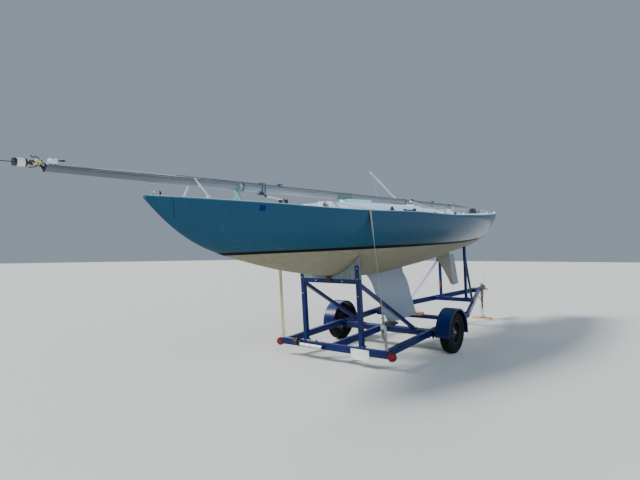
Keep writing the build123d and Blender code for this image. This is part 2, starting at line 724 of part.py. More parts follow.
def spring():
    """Leaf spring pack, bowed downwards between its ends."""
    top, low, sag = SPRING_TOP, SPRING_TOP - SPRING_T, SPRING_SAG
    leaf = make_face([
        ThreePointArc((-SPRING_HALF, top), (0, top - sag), (SPRING_HALF, top)),
        Line((SPRING_HALF, top), (SPRING_HALF, low)),
        ThreePointArc((SPRING_HALF, low), (0, low - sag - SPRING_FLATTER), (-SPRING_HALF, low)),
        Line((-SPRING_HALF, low), (-SPRING_HALF, top)),
    ])
    return slab(leaf, SPRING_W / 2)


def around_axle(face):
    """A section of radius and place across the wheel, turned about the axle."""
    return Rot(90, 0, 0) * revolve(Plane.XZ * face, Axis.Z)


def tyre():
    half = TYRE_W / 2
    wall = [(r, x - half) for r, x in TYRE_WALL]
    tread = TREAD_EDGE - half
    other = [(r, -x) for r, x in reversed(wall)]
    return around_axle(make_face([
        Spline(*wall),
        Polyline(wall[-1], (WHEEL_R, tread), (WHEEL_R, -tread), other[0]),
        Spline(*other),
        Line(other[-1], wall[0]),
    ]))


def fender():
    """Rolled band over the tyre with a lip each side, open below."""
    half, r = FENDER_W / 2, FENDER_R
    inner = r - FENDER_LIP
    section = [(inner, -half), (r, -half), (r, half), (inner, half), (inner, half - FENDER_T),
               (r - FENDER_T, half - FENDER_T), (r - FENDER_T, FENDER_T - half), (inner, FENDER_T - half)]
    band = around_axle(make_face(Polyline(*section, close=True)))
    return band & slab(make_face(Polyline(*FENDER_KEEP, close=True)), FENDER_W)


def build_running_gear():
    bar = axle()
    rig("axle", bar)
    for side, y in SIDES:
        rig("spring_" + side, Pos(0, y * RAIL_Y, 0) * spring() - bar)
        wheel_y = y * TRACK / 2
        rig("tyre_" + side, Pos(0, wheel_y, 0) * tyre())
        rim = revolve(Plane.XZ * make_face(Polyline(*RIM_PROFILE, close=True)), Axis.Z)
        rig("rim_" + side, Pos(0, wheel_y, 0) * Rot(-90 * y, 0, 0) * rim)
        guard = Pos(0, wheel_y, 0) * fender()
        rail_face = RAIL_Y + TUBE_W / 2
        guard_face = (TRACK - FENDER_W) / 2
        x, z, width, height = FENDER_BRACKET
        for end in (1, -1):
            size = (width, guard_face - rail_face, height)
            guard += block(size, (end * x, y * (rail_face + guard_face) / 2, z))
        rig("fender_" + side, guard)


# Cradle, keel blocks and stern posts, cut to the hull
def build_supports(main, hull):
    hull_in_rig = BOAT_IN_RIG * hull
    post_h = POST_TOP - FRAME_TOP
    for side, y in SIDES:
        post = block((POST_T, POST_T, post_h), (POST_X, y * POST_Y, FRAME_TOP + post_h / 2))
        rig("post_" + side, post)
        top = Vector(POST_X + BRACE_TOP[0], y * POST_Y, BRACE_TOP[1])
        foot = Vector(MAIN_X + BRACE_FOOT[0], y * POST_Y, BRACE_FOOT[1])
        length, depth = BRACE_CUT
        under = block((length, BETWEEN_RAILS, depth), (MAIN_X, y * POST_Y, MAIN_TOP - depth / 2))
        rig("brace_" + side, tube(top, foot, BRACE_T, BRACE_T) - post - main - under)
    rig("cradle_bar", block((BAR[0], 2 * POST_Y - POST_T, BAR[1]), (POST_X, 0, BAR_Z)))

    bar_top = BAR_Z + BAR[1] / 2
    reach = 2 * (POST_Y + PANEL_SIDE)
    panel = block((PANEL_T, reach, PANEL_H), (POST_X + PANEL_AHEAD, 0, bar_top + PANEL_H / 2))
    for name in ("post_port", "post_starboard"):
        panel = panel - parts[name][0]
    panel = lowest(panel - hull_in_rig)
    padding = Pos(0, 0, -CARPET_T) * hull_in_rig
    rig("bolster", biggest(panel - padding))
    rig("bolster_pad", biggest(panel & padding))

    keel_in_rig = BOAT_IN_RIG * parts["keel"][0]
    for name, beam_x, low, pad in (
        ("keel_pad_front", MAIN_X, MAIN_TOP, PAD_FRONT),
        ("keel_pad_aft", KEEL_BEAM_X, KEEL_BEAM_TOP, PAD_AFT),
    ):
        ahead, length, width, top = pad
        rig(name, block((length, width, top - low), (beam_x + ahead, 0, (low + top) / 2)) - keel_in_rig)

    low = FRAME_Z + STERN_BEAM[2] / 2
    for side, y in SIDES:
        at = (STERN_POST_X, y * STERN_POST_Y, low + BEYOND / 2)
        stick = block((STERN_POST_T, STERN_POST_T, BEYOND), at)
        rig("stern_post_" + side, lowest(stick - hull_in_rig))
    rig("stern_brace", stern_brace())


def stern_brace():
    """Strut from the port stern post's head down to the drawbar."""
    x, sunk = STERN_BRACE_FOOT
    share = (BEND_X - x) / (BEND_X - APEX_X)
    top = Vector(STERN_POST_X, STERN_POST_Y, STERN_BRACE_TOP)
    foot = Vector(x, RAIL_Y + (APEX_Y - RAIL_Y) * share, FRAME_TOP - sunk)
    bar = tube(top, foot, STERN_BRACE_T, STERN_BRACE_T)
    return biggest(bar - parts["stern_post_port"][0] - parts["drawbar_port"][0])


# Lamps, plate and jack
def build_lamps_and_plate():
    rear = parts["rear_beam"][0]
    z = FRAME_Z + LAMP_ON[1]
    drum, cone = LAMP_DEPTH
    lens = Cylinder(LAMP_R, drum) + Pos(0, 0, cone) * Cone(LAMP_R, LAMP_TIP_R, cone)
    for side, y in SIDES:
        lamp = Pos(REAR_X + LAMP_ON[0], y * (REAR_HALF + LAMP_OUT), z) * Rot(0, 90, 0) * lens
        arm = block(LAMP_ARM, (REAR_X, y * (REAR_HALF + LAMP_ARM[1] / 3), z))
        rig("lamp_" + side, lamp + arm - rear)
    rig("plate", block(PLATE, (REAR_X + (TUBE_W + PLATE[0]) / 2, PLATE_Y, FRAME_Z - PLATE_DROP)))


def jack_crank(outer_tube):
    """Shaft, flat arm and grip, folded down on the jack's port side."""
    across = Rot(-90, 0, 0)
    shaft = Pos(JACK_X, JACK_Y, CRANK_Z) * across * Cylinder(CRANK_R, CRANK_OUT, align=ON_END)
    drop = CRANK_ARM[2] - CRANK_ARM[0]
    arm = block(CRANK_ARM, (JACK_X, JACK_Y + CRANK_OUT, CRANK_Z - drop / 2))
    arm = fillet(arm.edges().filter_by(Axis.Y), CRANK_ARM[0] / 2 - 1)
    grip = Pos(JACK_X, JACK_Y + CRANK_OUT, CRANK_Z - drop) * across * Cylinder(*CRANK_GRIP, align=ON_END)
    return biggest(shaft + arm + grip - outer_tube)


def build_jack():
    at = Pos(JACK_X, JACK_Y, JACK_FOOT)
    bore = at * Pos(0, 0, -1) * Cylinder(JACK_BORE, JACK_LEN - JACK_CAP + 1, align=ON_END)
    clamp = block(JACK_CLAMP[0], (JACK_X, (TONGUE_T + JACK_CLAMP[0][1]) / 2, FRAME_Z))
    clamp += block(JACK_CLAMP[1], (JACK_X, (TONGUE_T + JACK_CLAMP[0][1]) / 2 + JACK_CLAMP[1][1] / 2, FRAME_Z))
    outer_tube = at * Cylinder(JACK_R, JACK_LEN, align=ON_END)
    rig("jack_tube", outer_tube + clamp - bore)

    rig("jack_crank", jack_crank(outer_tube))

    leg = RIG_LOC * Pos(JACK_X, JACK_Y, LEG_FROM) * Cylinder(LEG_R, LEG_LEN, align=ON_END)
    foot_top = PLANK[2] + FOOT[2]
    leg = leg - block((2 * BEYOND, BEYOND, BEYOND), (JACK_X, 0, foot_top - BEYOND / 2))
    base = leg.faces().sort_by(Axis.Z)[0].center()
    row("jack_leg", leg + block(FOOT, (base.X, base.Y, PLANK[2] + FOOT[2] / 2)))
    row("foot_plank", block(PLANK, (base.X, base.Y + PLANK_Y, PLANK[2] / 2)))


# Place every part in the row frame and write it
def write_parts():
    frames = {"boat": BOAT_LOC, "rig": RIG_LOC, "row": Location()}
    placed = {name: frames[frame] * shape for name, (shape, frame) in parts.items()}
    boxes = [s.bounding_box() for s in placed.values()]
    low = [min(getattr(b.min, k) for b in boxes) for k in "XYZ"]
    high = [max(getattr(b.max, k) for b in boxes) for k in "XYZ"]
    shift = Pos(-(low[0] + high[0]) / 2, -(low[1] + high[1]) / 2, -low[2])
    os.makedirs("parts", exist_ok=True)
    for name, shape in placed.items():
        export_step(shift * shape, "parts/" + name + ".step")
    print("size", [round(b - a, 2) for a, b in zip(low, high)], "shift", tuple(shift.position))


hull_solid = build_boat()
main_solid = build_frame()
build_running_gear()
build_supports(main_solid, hull_solid)
build_lamps_and_plate()
build_jack()
write_parts()
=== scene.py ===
import math
import random

import bmesh
import bpy
from mathutils import Matrix, Vector
from mathutils.bvhtree import BVHTree


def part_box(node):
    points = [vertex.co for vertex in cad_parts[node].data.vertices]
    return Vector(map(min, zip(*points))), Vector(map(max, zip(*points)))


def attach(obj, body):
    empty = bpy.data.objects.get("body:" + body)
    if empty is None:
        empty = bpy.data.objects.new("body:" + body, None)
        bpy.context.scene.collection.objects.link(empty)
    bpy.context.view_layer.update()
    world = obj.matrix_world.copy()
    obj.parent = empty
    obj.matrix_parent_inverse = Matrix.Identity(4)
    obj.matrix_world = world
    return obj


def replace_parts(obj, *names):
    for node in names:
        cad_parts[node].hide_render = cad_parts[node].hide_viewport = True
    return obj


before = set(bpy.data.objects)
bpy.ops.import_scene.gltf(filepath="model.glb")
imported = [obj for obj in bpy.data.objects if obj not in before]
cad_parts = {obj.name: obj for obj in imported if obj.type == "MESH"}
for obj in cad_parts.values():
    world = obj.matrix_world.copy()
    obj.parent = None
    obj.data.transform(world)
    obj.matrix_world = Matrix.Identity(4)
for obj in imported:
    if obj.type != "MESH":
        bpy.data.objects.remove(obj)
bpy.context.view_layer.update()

# The looks of a keelboat on its trailer, in metres, in the CAD model's row frame.
# Boat frame: a runs aft from the stem head, y to port, z up from the waterline.
# Rig frame: x runs from the axle to the rear beam, y to port, z up from the wheel centres.

# Placing, the same driving sizes as the part's source
BOAT_PITCH = math.radians(3.2)
RIG_PITCH = math.radians(4.65)
STEM_AHEAD = 4.873
WATERLINE_Z = 1.512
WHEEL_LOW, WHEEL_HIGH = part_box("tyre_port")
WHEEL = (WHEEL_LOW + WHEEL_HIGH) / 2
WHEEL_R = (WHEEL_HIGH.z - WHEEL_LOW.z) / 2
BOAT = Matrix.Translation((WHEEL.x + STEM_AHEAD, 0, WATERLINE_Z)) @ Matrix.Rotation(BOAT_PITCH, 4, "Y")
RIG = Matrix.Translation((WHEEL.x, 0, WHEEL.z)) @ Matrix.Rotation(RIG_PITCH, 4, "Y")
SIDES = (("port", 1), ("starboard", -1))
AHEAD = Vector((1, 0, 0))
PORT = Vector((0, 1, 0))
UP = Vector((0, 0, 1))
BOAT_AHEAD = BOAT.to_3x3() @ AHEAD
BOAT_UP = BOAT.to_3x3() @ UP
QUARTER = math.pi / 2

# Places in the rig frame
BEAM_TOP = 0.095
POST_Y = 0.509              # cradle posts on the rear beam
RAIL_Y = 0.903              # side rails and the springs under them
STERN_POST = (-2.77, 0.29)
JACK_X, JACK_Y = -4.340, 0.074


def boat(a, y, z):
    """A row point from distance aft of the stem, to port and above the waterline."""
    return BOAT @ Vector((-a, y, z))


def rig(x, y, z):
    return RIG @ Vector((x, y, z))


# Camera, floor and light
EYE = Vector((6.504, 4.300, 1.621))
LENS = 27.12
YAW, PITCH, ROLL = [math.radians(turn) for turn in (-141.95, 1.612, -0.122)]
FLOOR_HALF = 90.0
FLOOR_COLOUR = (0.62, 0.63, 0.62)
SKY_COLOUR, SKY_STRENGTH = (0.67, 0.82, 1.0), 0.39
# Each light's direction, spread in degrees, strength and colour
LIGHTS = {
    "key": ((8.5, -8.5, 10.3), 16.0, 4.7, (1.0, 0.96, 0.90)),
    "fill": ((6, 12, 7), 40.0, 1.5, (0.78, 0.90, 1.0)),
    "rim": ((-8, -11, 8), 25.0, 0.55, (0.97, 0.98, 1.0)),
}


def add_object(name, data):
    made = bpy.data.objects.new(name, data)
    bpy.context.scene.collection.objects.link(made)
    return made


def make_camera():
    ahead = Vector((math.cos(YAW) * math.cos(PITCH), math.sin(YAW) * math.cos(PITCH), math.sin(PITCH)))
    level = Vector((math.sin(YAW), -math.cos(YAW), 0))
    upright = level.cross(ahead)
    right = math.cos(ROLL) * level + math.sin(ROLL) * upright
    up = math.cos(ROLL) * upright - math.sin(ROLL) * level
    camera = add_object("camera", bpy.data.cameras.new("camera"))
    camera.data.lens = LENS
    camera.data.sensor_width = 36
    camera.data.sensor_fit = "HORIZONTAL"
    camera.data.clip_end = 200
    camera.matrix_world = Matrix.Translation(EYE) @ Matrix((right, up, -ahead)).transposed().to_4x4()
    bpy.context.scene.camera = camera


def make_studio():
    """Distant soft lights, as strong at one end of the object as at the other, a pale sky and floor."""
    for name, (direction, spread, strength, colour) in LIGHTS.items():
        data = bpy.data.lights.new(name, "SUN")
        data.angle = math.radians(spread)
        data.energy = strength
        data.color = colour
        light = add_object(name, data)
        light.matrix_world = Vector(direction).to_track_quat("Z", "Y").to_matrix().to_4x4()
    world = bpy.data.worlds.new("studio")
    world.use_nodes = True
    sky = world.node_tree.nodes["Background"].inputs
    sky["Color"].default_value = (*SKY_COLOUR, 1)
    sky["Strength"].default_value = SKY_STRENGTH
    bpy.context.scene.world = world
    mesh = bpy.data.meshes.new("floor")
    corners = [(u * FLOOR_HALF, v * FLOOR_HALF, 0) for u, v in ((-1, -1), (1, -1), (1, 1), (-1, 1))]
    mesh.from_pydata(corners, [], [(0, 1, 2, 3)])
    mesh.materials.append(Shader("floor_pale", rough=0.9).finish(FLOOR_COLOUR))
    floor = add_object("floor", mesh)


# Materials
class Shader:
    """A Principled material whose node graph is built by short calls."""

    def __init__(self, name, rough=0.5, metal=0.0, coat=0.0, sheen=0.0, spec=0.5):
        self.material = bpy.data.materials.new(name)
        self.material.use_nodes = True
        self.tree = self.material.node_tree
        self.bsdf = self.tree.nodes["Principled BSDF"].inputs
        for socket, value in (("Roughness", rough), ("Metallic", metal), ("Specular IOR Level", spec),
                              ("Coat Weight", coat), ("Coat Roughness", 0.06), ("Sheen Weight", sheen)):
            self.bsdf[socket].default_value = value

    def feed(self, socket, value):
        """Set a socket to a number, vector or colour, or wire a node's output to it."""
        if isinstance(value, bpy.types.NodeSocket):
            self.tree.links.new(value, socket)
        else:
            socket.default_value = (*value, 1) if socket.type == "RGBA" else value

    def node(self, kind, feeds=None, **settings):
        made = self.tree.nodes.new("ShaderNode" + kind)
        for key, value in settings.items():
            setattr(made, key, value)
        for socket, value in (feeds or {}).items():
            self.feed(made.inputs[socket], value)
        return made

    def place(self, matrix=None):
        """Position on the object, in the row frame or in a frame pitched about Y."""
        out = self.node("TexCoord").outputs["Object"]
        if matrix is None:
            return out
        start = self.node("VectorMath", {0: out, 1: matrix.to_translation()}, operation="SUBTRACT")
        turn = {"Vector": start.outputs[0], "Angle": -matrix.to_euler().y}
        return self.node("VectorRotate", turn, rotation_type="Y_AXIS").outputs[0]

    def axis(self, vector, letter):
        return self.node("SeparateXYZ", {0: vector}).outputs[letter]

    def scaled(self, vector, scale):
        return self.node("VectorMath", {0: vector, 1: scale}, operation="MULTIPLY").outputs[0]

    def noise(self, vector, scale, detail=4.0, rough=0.55):
        feeds = {"Vector": vector, "Scale": scale, "Detail": detail, "Roughness": rough}
        return self.node("TexNoise", feeds).outputs[0]

    def cells(self, vector, scale):
        return self.node("TexVoronoi", {"Vector": vector, "Scale": scale}).outputs["Distance"]

    def bands(self, vector, scale, direction):
        wave = self.node("TexWave", {"Vector": vector, "Scale": scale}, bands_direction=direction)
        return wave.outputs["Fac"]

    def ramp(self, value, start, full):
        """0 up to start and 1 from full on, smooth between, full being above or below start."""
        low, high = sorted((start, full))
        ends = {"Value": value, "From Min": low, "From Max": high,
                "To Min": float(start > full), "To Max": float(start < full)}
        return self.node("MapRange", ends, interpolation_type="SMOOTHSTEP").outputs[0]

    def patches(self, vector, scale, detail, rough, start, full):
        """1 in scattered patches of noise and 0 between them."""
        return self.ramp(self.noise(vector, scale, detail, rough), start, full)

    def math(self, operation, first, second):
        return self.node("Math", {0: first, 1: second}, operation=operation).outputs[0]

    def mix(self, share, first, second):
        """A colour between two, each a tuple or the output of another node."""
        return self.node("Mix", {0: share, 6: first, 7: second}, data_type="RGBA").outputs[2]

    def layer(self, base, mask, share, colour):
        """A colour laid over the base where the mask is 1, at a share of its strength."""
        return self.mix(self.math("MULTIPLY", mask, share), base, colour)

    def edges(self, radius):
        """1 on sharp edges and 0 on flats."""
        soft = self.node("Bevel", {"Radius": radius}, samples=4).outputs[0]
        hard = self.node("NewGeometry").outputs["Normal"]
        match = self.node("VectorMath", {0: soft, 1: hard}, operation="DOT_PRODUCT").outputs["Value"]
        return self.ramp(match, 0.97, 0.80)

    def upward(self, start, full):
        """The ramp of how far the surface faces up, which is 1 on level ground and 0 on a wall."""
        return self.ramp(self.axis(self.node("NewGeometry").outputs["Normal"], "Z"), start, full)

    def finish(self, colour, gloss=None, bump=None):
        """Set the colour, the roughness as (value, at 0, at 1) and the bump as (height, depth, strength)."""
        self.feed(self.bsdf["Base Color"], colour)
        if gloss:
            feeds = dict(zip(("Value", "To Min", "To Max"), gloss))
            self.feed(self.bsdf["Roughness"], self.node("MapRange", feeds).outputs[0])
        if bump:
            feeds = dict(zip(("Height", "Distance", "Strength"), bump))
            self.feed(self.bsdf["Normal"], self.node("Bump", feeds).outputs[0])
        return self.material


def shade(colour, factor):
    return tuple(c * factor for c in colour)


# Paint line of the bottom: distance aft, height above the waterline
PAINT_LINE = ((0, 0.036), (3.0, 0.0), (6.2, -0.040), (7.4, -0.030), (8.4, 0.060), (9.3, 0.190), (9.7, 0.240))
LINE_SPAN = 9.7
LINE_LOW, LINE_RANGE = -0.1, 0.4
STRIPE_REACH, STRIPE_DROP = 0.050, 0.010
STRIPE_FADE = (8.25, 7.5)               # distance aft where the boot stripe ends and where it is full
SCRATCH_AFT, SCRATCH_SLANT = 0.412, 0.22
STICKER_AFT, STICKER_Z = (1.183, 1.260), (0.523, 0.590)
STICKER_EDGE = 0.0008


def paint_line(s, aft):
    """Height of the paint line at a distance aft."""
    curve = s.node("FloatCurve", {"Value": s.math("DIVIDE", aft, LINE_SPAN)})
    points = curve.mapping.curves[0].points
    while len(points) < len(PAINT_LINE):
        points.new(0.5, 0.5)
    for point, (a, z) in zip(points, PAINT_LINE):
        point.location = (a / LINE_SPAN, (z - LINE_LOW) / LINE_RANGE)
    curve.mapping.update()
    return s.math("ADD", s.math("MULTIPLY", curve.outputs[0], LINE_RANGE), LINE_LOW)


def sticker_mask(s, p, aft, z):
    """1 inside the square on the port bow."""
    inside = s.ramp(s.axis(p, "Y"), 0.0, 0.01)
    for value, (low, high) in ((aft, STICKER_AFT), (z, STICKER_Z)):
        inside = s.math("MULTIPLY", inside, s.ramp(value, low - STICKER_EDGE, low + STICKER_EDGE))
        inside = s.math("MULTIPLY", inside, s.ramp(value, high + STICKER_EDGE, high - STICKER_EDGE))
    return inside


def topside_paint():
    """Teal gloss with run marks, chalking, a bow scratch, a plain sticker and a black boot stripe."""
    s = Shader("topside_teal", coat=0.01, spec=0.06)
    p = s.place(BOAT)
    aft = s.math("MULTIPLY", s.axis(p, "X"), -1.0)
    z = s.axis(p, "Z")
    teal = s.mix(s.noise(p, 0.7, 3.0), (0.0180, 0.0635, 0.116), (0.0250, 0.081, 0.142))
    teal = s.mix(s.ramp(z, 0.35, -0.05), teal, (0.0195, 0.067, 0.099))
    runs = s.patches(s.scaled(p, (9.0, 9.0, 0.5)), 2.2, 5.0, 0.55, 0.56, 0.80)
    teal = s.layer(teal, runs, 0.16, (0.11, 0.21, 0.28))
    teal = s.layer(teal, s.patches(p, 6.0, 6.0, 0.7, 0.62, 0.80), 0.12, (0.16, 0.28, 0.35))
    # scratch slanting down beside the stem
    slant = s.math("ADD", aft, s.math("MULTIPLY", z, SCRATCH_SLANT))
    slant = s.math("ADD", slant, s.math("MULTIPLY", s.noise(p, 14.0), 0.012))
    off = s.math("ABSOLUTE", s.math("SUBTRACT", slant, SCRATCH_AFT), 0.0)
    scratch = s.math("MULTIPLY", s.ramp(off, 0.006, 0.002), s.ramp(z, 0.44, 0.47))
    teal = s.layer(teal, scratch, 0.85, (0.008, 0.030, 0.045))
    teal = s.mix(sticker_mask(s, p, aft, z), teal, (0.008, 0.012, 0.125))
    # boot stripe, fading out under the counter
    reach = s.math("MULTIPLY", s.ramp(aft, *STRIPE_FADE), STRIPE_REACH)
    above = s.math("SUBTRACT", s.math("SUBTRACT", z, paint_line(s, aft)), reach)
    stripe = s.ramp(above, 0.0015 - STRIPE_DROP, -0.0015 - STRIPE_DROP)
    dull = s.math("MAXIMUM", stripe, s.math("MULTIPLY", s.noise(p, 5.0, 5.0), 0.4))
    paint = s.mix(stripe, teal, (0.004, 0.005, 0.007))
    return s.finish(paint, (dull, 0.10, 0.60), (s.noise(p, 1.6, 2.0), 0.004, 0.25))


def bottom_paint():
    """Matt cream bottom paint with roller marks, stains and specks."""
    s = Shader("bottom_cream", rough=0.75)
    p = s.place(BOAT)
    # the cream's warm tint is partly the paint's own, partly painted bounce light from the ground
    cream = s.mix(s.noise(p, 1.1, 5.0), (0.169, 0.155, 0.098), (0.220, 0.204, 0.139))
    roller = s.noise(s.scaled(p, (0.6, 3.0, 6.0)), 7.0, 3.0)
    cream = s.mix(s.ramp(roller, 0.45, 0.70), cream, (0.241, 0.226, 0.158))
    stain = s.patches(s.scaled(p, (1.4, 1.4, 0.6)), 2.4, 6.0, 0.65, 0.60, 0.76)
    cream = s.layer(cream, stain, 0.45, (0.124, 0.109, 0.073))
    cream = s.layer(cream, s.ramp(s.cells(p, 26.0), 0.10, 0.05), 0.35, (0.10, 0.095, 0.085))
    return s.finish(cream, (roller, 0.60, 0.88), (s.noise(p, 90.0, 3.0), 0.0012, 0.5))


def streaked_paint(name, light, dark, streak):
    """Matt paint on an underwater part, streaked downwards and chipped."""
    s = Shader(name, rough=0.6)
    p = s.place(BOAT)
    base = s.mix(s.noise(p, 2.2, 4.0), light, dark)
    lines = s.patches(s.scaled(p, (26.0, 26.0, 0.9)), 1.6, 5.0, 0.7, 0.46, 0.72)
    base = s.layer(base, lines, 0.55, streak)
    base = s.layer(base, s.patches(p, 40.0, 4.0, 0.7, 0.70, 0.76), 0.3, shade(dark, 0.35))
    return s.finish(base, (lines, 0.42, 0.70), (s.noise(p, 60.0, 3.0), 0.0015, 0.4))


def gelcoat(name, colour, grip=0.0, edge=None):
    """White gelcoat, with a moulded non-slip grain where it is walked on."""
    s = Shader(name, rough=0.35, coat=0.2)
    p = s.place()
    base = s.mix(s.noise(p, 1.4, 5.0), colour, shade(colour, 0.94))
    base = s.layer(base, s.patches(p, 9.0, 7.0, 0.7, 0.58, 0.74), 0.20, (0.38, 0.39, 0.36))
    if edge:
        base = s.mix(s.upward(0.60, 0.40), base, edge)
    height = s.cells(p, 330.0) if grip else s.noise(p, 40.0, 2.0)
    return s.finish(base, (s.noise(p, 7.0, 4.0), 0.25, 0.50), (height, 0.0009, grip or 0.15))


EVEN, DRAWN = (6.0, 6.0, 6.0), (0.5, 14.0, 14.0)


def alloy(name, colour, metal=0.9, stretch=EVEN, matrix=None, head=None):
    """Dull weathered aluminium or zinc, marked lengthwise if drawn, another tone towards a mast's head."""
    s = Shader(name, metal=metal)
    p = s.place(matrix)
    lines = s.noise(s.scaled(p, stretch), 5.0, 5.0, 0.7)
    base = s.mix(lines, shade(colour, 0.78), colour)
    base = s.layer(base, s.patches(p, 16.0, 6.0, 0.75, 0.56, 0.74), 0.40, shade(colour, 0.55))
    if head:
        base = s.layer(base, s.ramp(s.axis(p, "X"), -2.2, 0.5), 0.80, head)
    return s.finish(base, (lines, 0.34, 0.58), (lines, 0.0006, 0.4))


RUST_PATCH = (STERN_POST[0], -STERN_POST[1], 0.37)      # low on the starboard stern post


def frame_paint():
    """Royal blue enamel on steel, its base dark as in painted shade: chalked and painted sunlit on top,
    chipped and rusty at edges.
    """
    s = Shader("frame_blue", spec=0.22)
    p = s.place(RIG)
    blue = s.mix(s.noise(p, 2.0, 4.0), (0.0013, 0.0065, 0.062), (0.0030, 0.013, 0.103))
    # upward faces lightened in patches: partly chalked paint, partly painted sunlight on the tops
    faded_and_sunlit = s.math("MULTIPLY", s.upward(0.35, 0.95), s.patches(p, 3.0, 5.0, 0.55, 0.25, 0.70))
    blue = s.layer(blue, faded_and_sunlit, 0.62, (0.055, 0.095, 0.27))
    dirt = s.patches(s.scaled(p, (1.0, 1.0, 0.4)), 7.0, 7.0, 0.7, 0.54, 0.74)
    blue = s.layer(blue, dirt, 0.22, (0.040, 0.045, 0.060))
    chip = s.math("ADD", s.noise(p, 11.0, 8.0, 0.72), s.math("MULTIPLY", s.edges(0.006), 0.16))
    gap = s.node("VectorMath", {0: p, 1: RUST_PATCH}, operation="DISTANCE").outputs["Value"]
    patch = s.math("SUBTRACT", gap, s.math("MULTIPLY", s.noise(p, 18.0, 5.0), 0.10))
    patch = s.math("MULTIPLY", s.ramp(patch, 0.040, 0.010), 0.6)
    rust = s.math("MAXIMUM", s.ramp(chip, 0.685, 0.72), patch)
    blue = s.mix(rust, blue, s.mix(s.noise(p, 60.0), (0.115, 0.040, 0.016), (0.22, 0.085, 0.032)))
    height = s.math("ADD", rust, s.noise(p, 45.0, 2.0))
    return s.finish(blue, (s.math("MAXIMUM", rust, dirt), 0.30, 0.78), (height, 0.0008, 0.5))


def rusty_steel(name, colour, amount=0.60, matrix=RIG):
    """Bare or zinced steel, with the less rust the higher amount is."""
    s = Shader(name, metal=0.35)
    p = s.place(matrix)
    rust = s.patches(p, 13.0, 8.0, 0.72, amount, amount + 0.10)
    base = s.mix(s.noise(p, 5.0, 4.0), colour, shade(colour, 0.6))
    base = s.mix(rust, base, s.mix(s.noise(p, 70.0), (0.13, 0.045, 0.018), (0.26, 0.10, 0.04)))
    height = s.math("ADD", rust, s.noise(p, 90.0, 3.0))
    return s.finish(base, (rust, 0.42, 0.88), (height, 0.001, 0.5))


GRAIN_UP, GRAIN_AHEAD, GRAIN_ACROSS = (14.0, 14.0, 1.0), (1.0, 14.0, 14.0), (14.0, 1.0, 14.0)


def wood(name, light, dark, grain_run, gloss=(0.6, 0.8), matrix=RIG):
    """Timber with grain drawn out along one direction, and a few dark lines."""
    s = Shader(name)
    p = s.scaled(s.place(matrix), grain_run)
    grain = s.noise(p, 5.0, 6.0, 0.65)
    base = s.mix(s.ramp(grain, 0.30, 0.70), light, dark)
    base = s.layer(base, s.patches(p, 22.0, 3.0, 0.55, 0.55, 0.75), 0.35, shade(dark, 0.5))
    return s.finish(base, (grain, *gloss), (grain, 0.001, 0.5))


def plastic(name, colour, rough=0.45, dirt=0.25):
    """Moulded plastic, paler and duller where it is worn."""
    s = Shader(name)
    p = s.place()
    base = s.mix(s.noise(p, 12.0, 4.0), colour, shade(colour, 0.82))
    worn = s.patches(p, 30.0, 6.0, 0.7, 0.58, 0.76)
    base = s.layer(base, worn, dirt, tuple(0.5 * c + 0.09 for c in colour))
    return s.finish(base, (worn, rough, min(1.0, rough + 0.25)), (s.noise(p, 150.0, 2.0), 0.0004, 0.4))


def woven(name, colour, dirt=0.35, thread=150.0, starboard=None):
    """Webbing or rope fibre: fine crossing threads with soiled patches, another colour to starboard that
    paints sunlight on webbing painted in shade to port.
    """
    s = Shader(name, rough=0.85, sheen=0.25)
    p = s.place()
    darker = shade(colour, 0.75)
    # the starboard colour is painted sunlight; the same webbing to port is its painted shade
    if starboard:
        colour = s.mix(s.ramp(s.axis(p, "Y"), 0.05, -0.05), colour, starboard)
        darker = s.mix(0.25, colour, (0.0, 0.0, 0.0))
    base = s.mix(s.noise(p, 9.0, 5.0), colour, darker)
    base = s.layer(base, s.patches(p, 4.0, 6.0, 0.7, 0.52, 0.72), dirt, (0.16, 0.145, 0.11))
    return s.finish(base, bump=(s.bands(p, thread, "DIAGONAL"), 0.0008, 0.6))


ROPE_THREAD = 250.0


def tyre_rubber():
    s = Shader("tyre_rubber", rough=0.8, spec=0.2)
    p = s.place()
    base = s.mix(s.noise(p, 8.0, 5.0), (0.004, 0.004, 0.005), (0.010, 0.010, 0.010))
    base = s.layer(base, s.patches(p, 20.0, 7.0, 0.7, 0.50, 0.72), 0.25, (0.045, 0.041, 0.034))
    return s.finish(base, bump=(s.noise(p, 220.0, 3.0), 0.0006, 0.5))


def lamp_lens():
    """Red moulded lens with rings, on a black body."""
    s = Shader("lamp_red", spec=0.3)
    p = s.place(RIG)
    base = s.mix(s.noise(p, 30.0, 3.0), (0.20, 0.004, 0.004), (0.10, 0.002, 0.003))
    base = s.mix(s.ramp(s.axis(p, "X"), 1.812, 1.806), base, (0.012, 0.012, 0.014))
    return s.finish(base, (s.noise(p, 60.0, 4.0), 0.18, 0.45), (s.bands(p, 28.0, "Z"), 0.0012, 0.6))


def foam():
    s = Shader("foam_mint", rough=0.9)
    p = s.place()
    base = s.mix(s.noise(p, 18.0, 5.0), (0.55, 0.92, 0.79), (0.44, 0.80, 0.68))
    pits = s.ramp(s.cells(p, 160.0), 0.10, 0.35)
    return s.finish(s.mix(pits, (0.33, 0.62, 0.53), base), bump=(pits, 0.002, 0.6))


ANTENNA_BANDS = ((0.975, 1.049), (1.108, 1.700))        # distances ahead of the stem head


def antenna_finish():
    """Moulded white with dark bands at both ends."""
    s = Shader("antenna_white", coat=0.2)
    p = s.place(BOAT)
    x = s.axis(p, "X")
    ends = [s.math("MULTIPLY", s.ramp(x, low - 0.001, low + 0.001), s.ramp(x, high + 0.001, high - 0.001))
            for low, high in ANTENNA_BANDS]
    white = (0.74, 0.75, 0.74)
    base = s.mix(s.noise(p, 20.0, 4.0), white, shade(white, 0.85))
    base = s.mix(s.math("MAXIMUM", *ends), base, (0.012, 0.012, 0.014))
    return s.finish(base, (s.noise(p, 30.0, 3.0), 0.25, 0.50))


TILLER_TIP_X = -5.427       # where the ball begins, ahead of the stem head


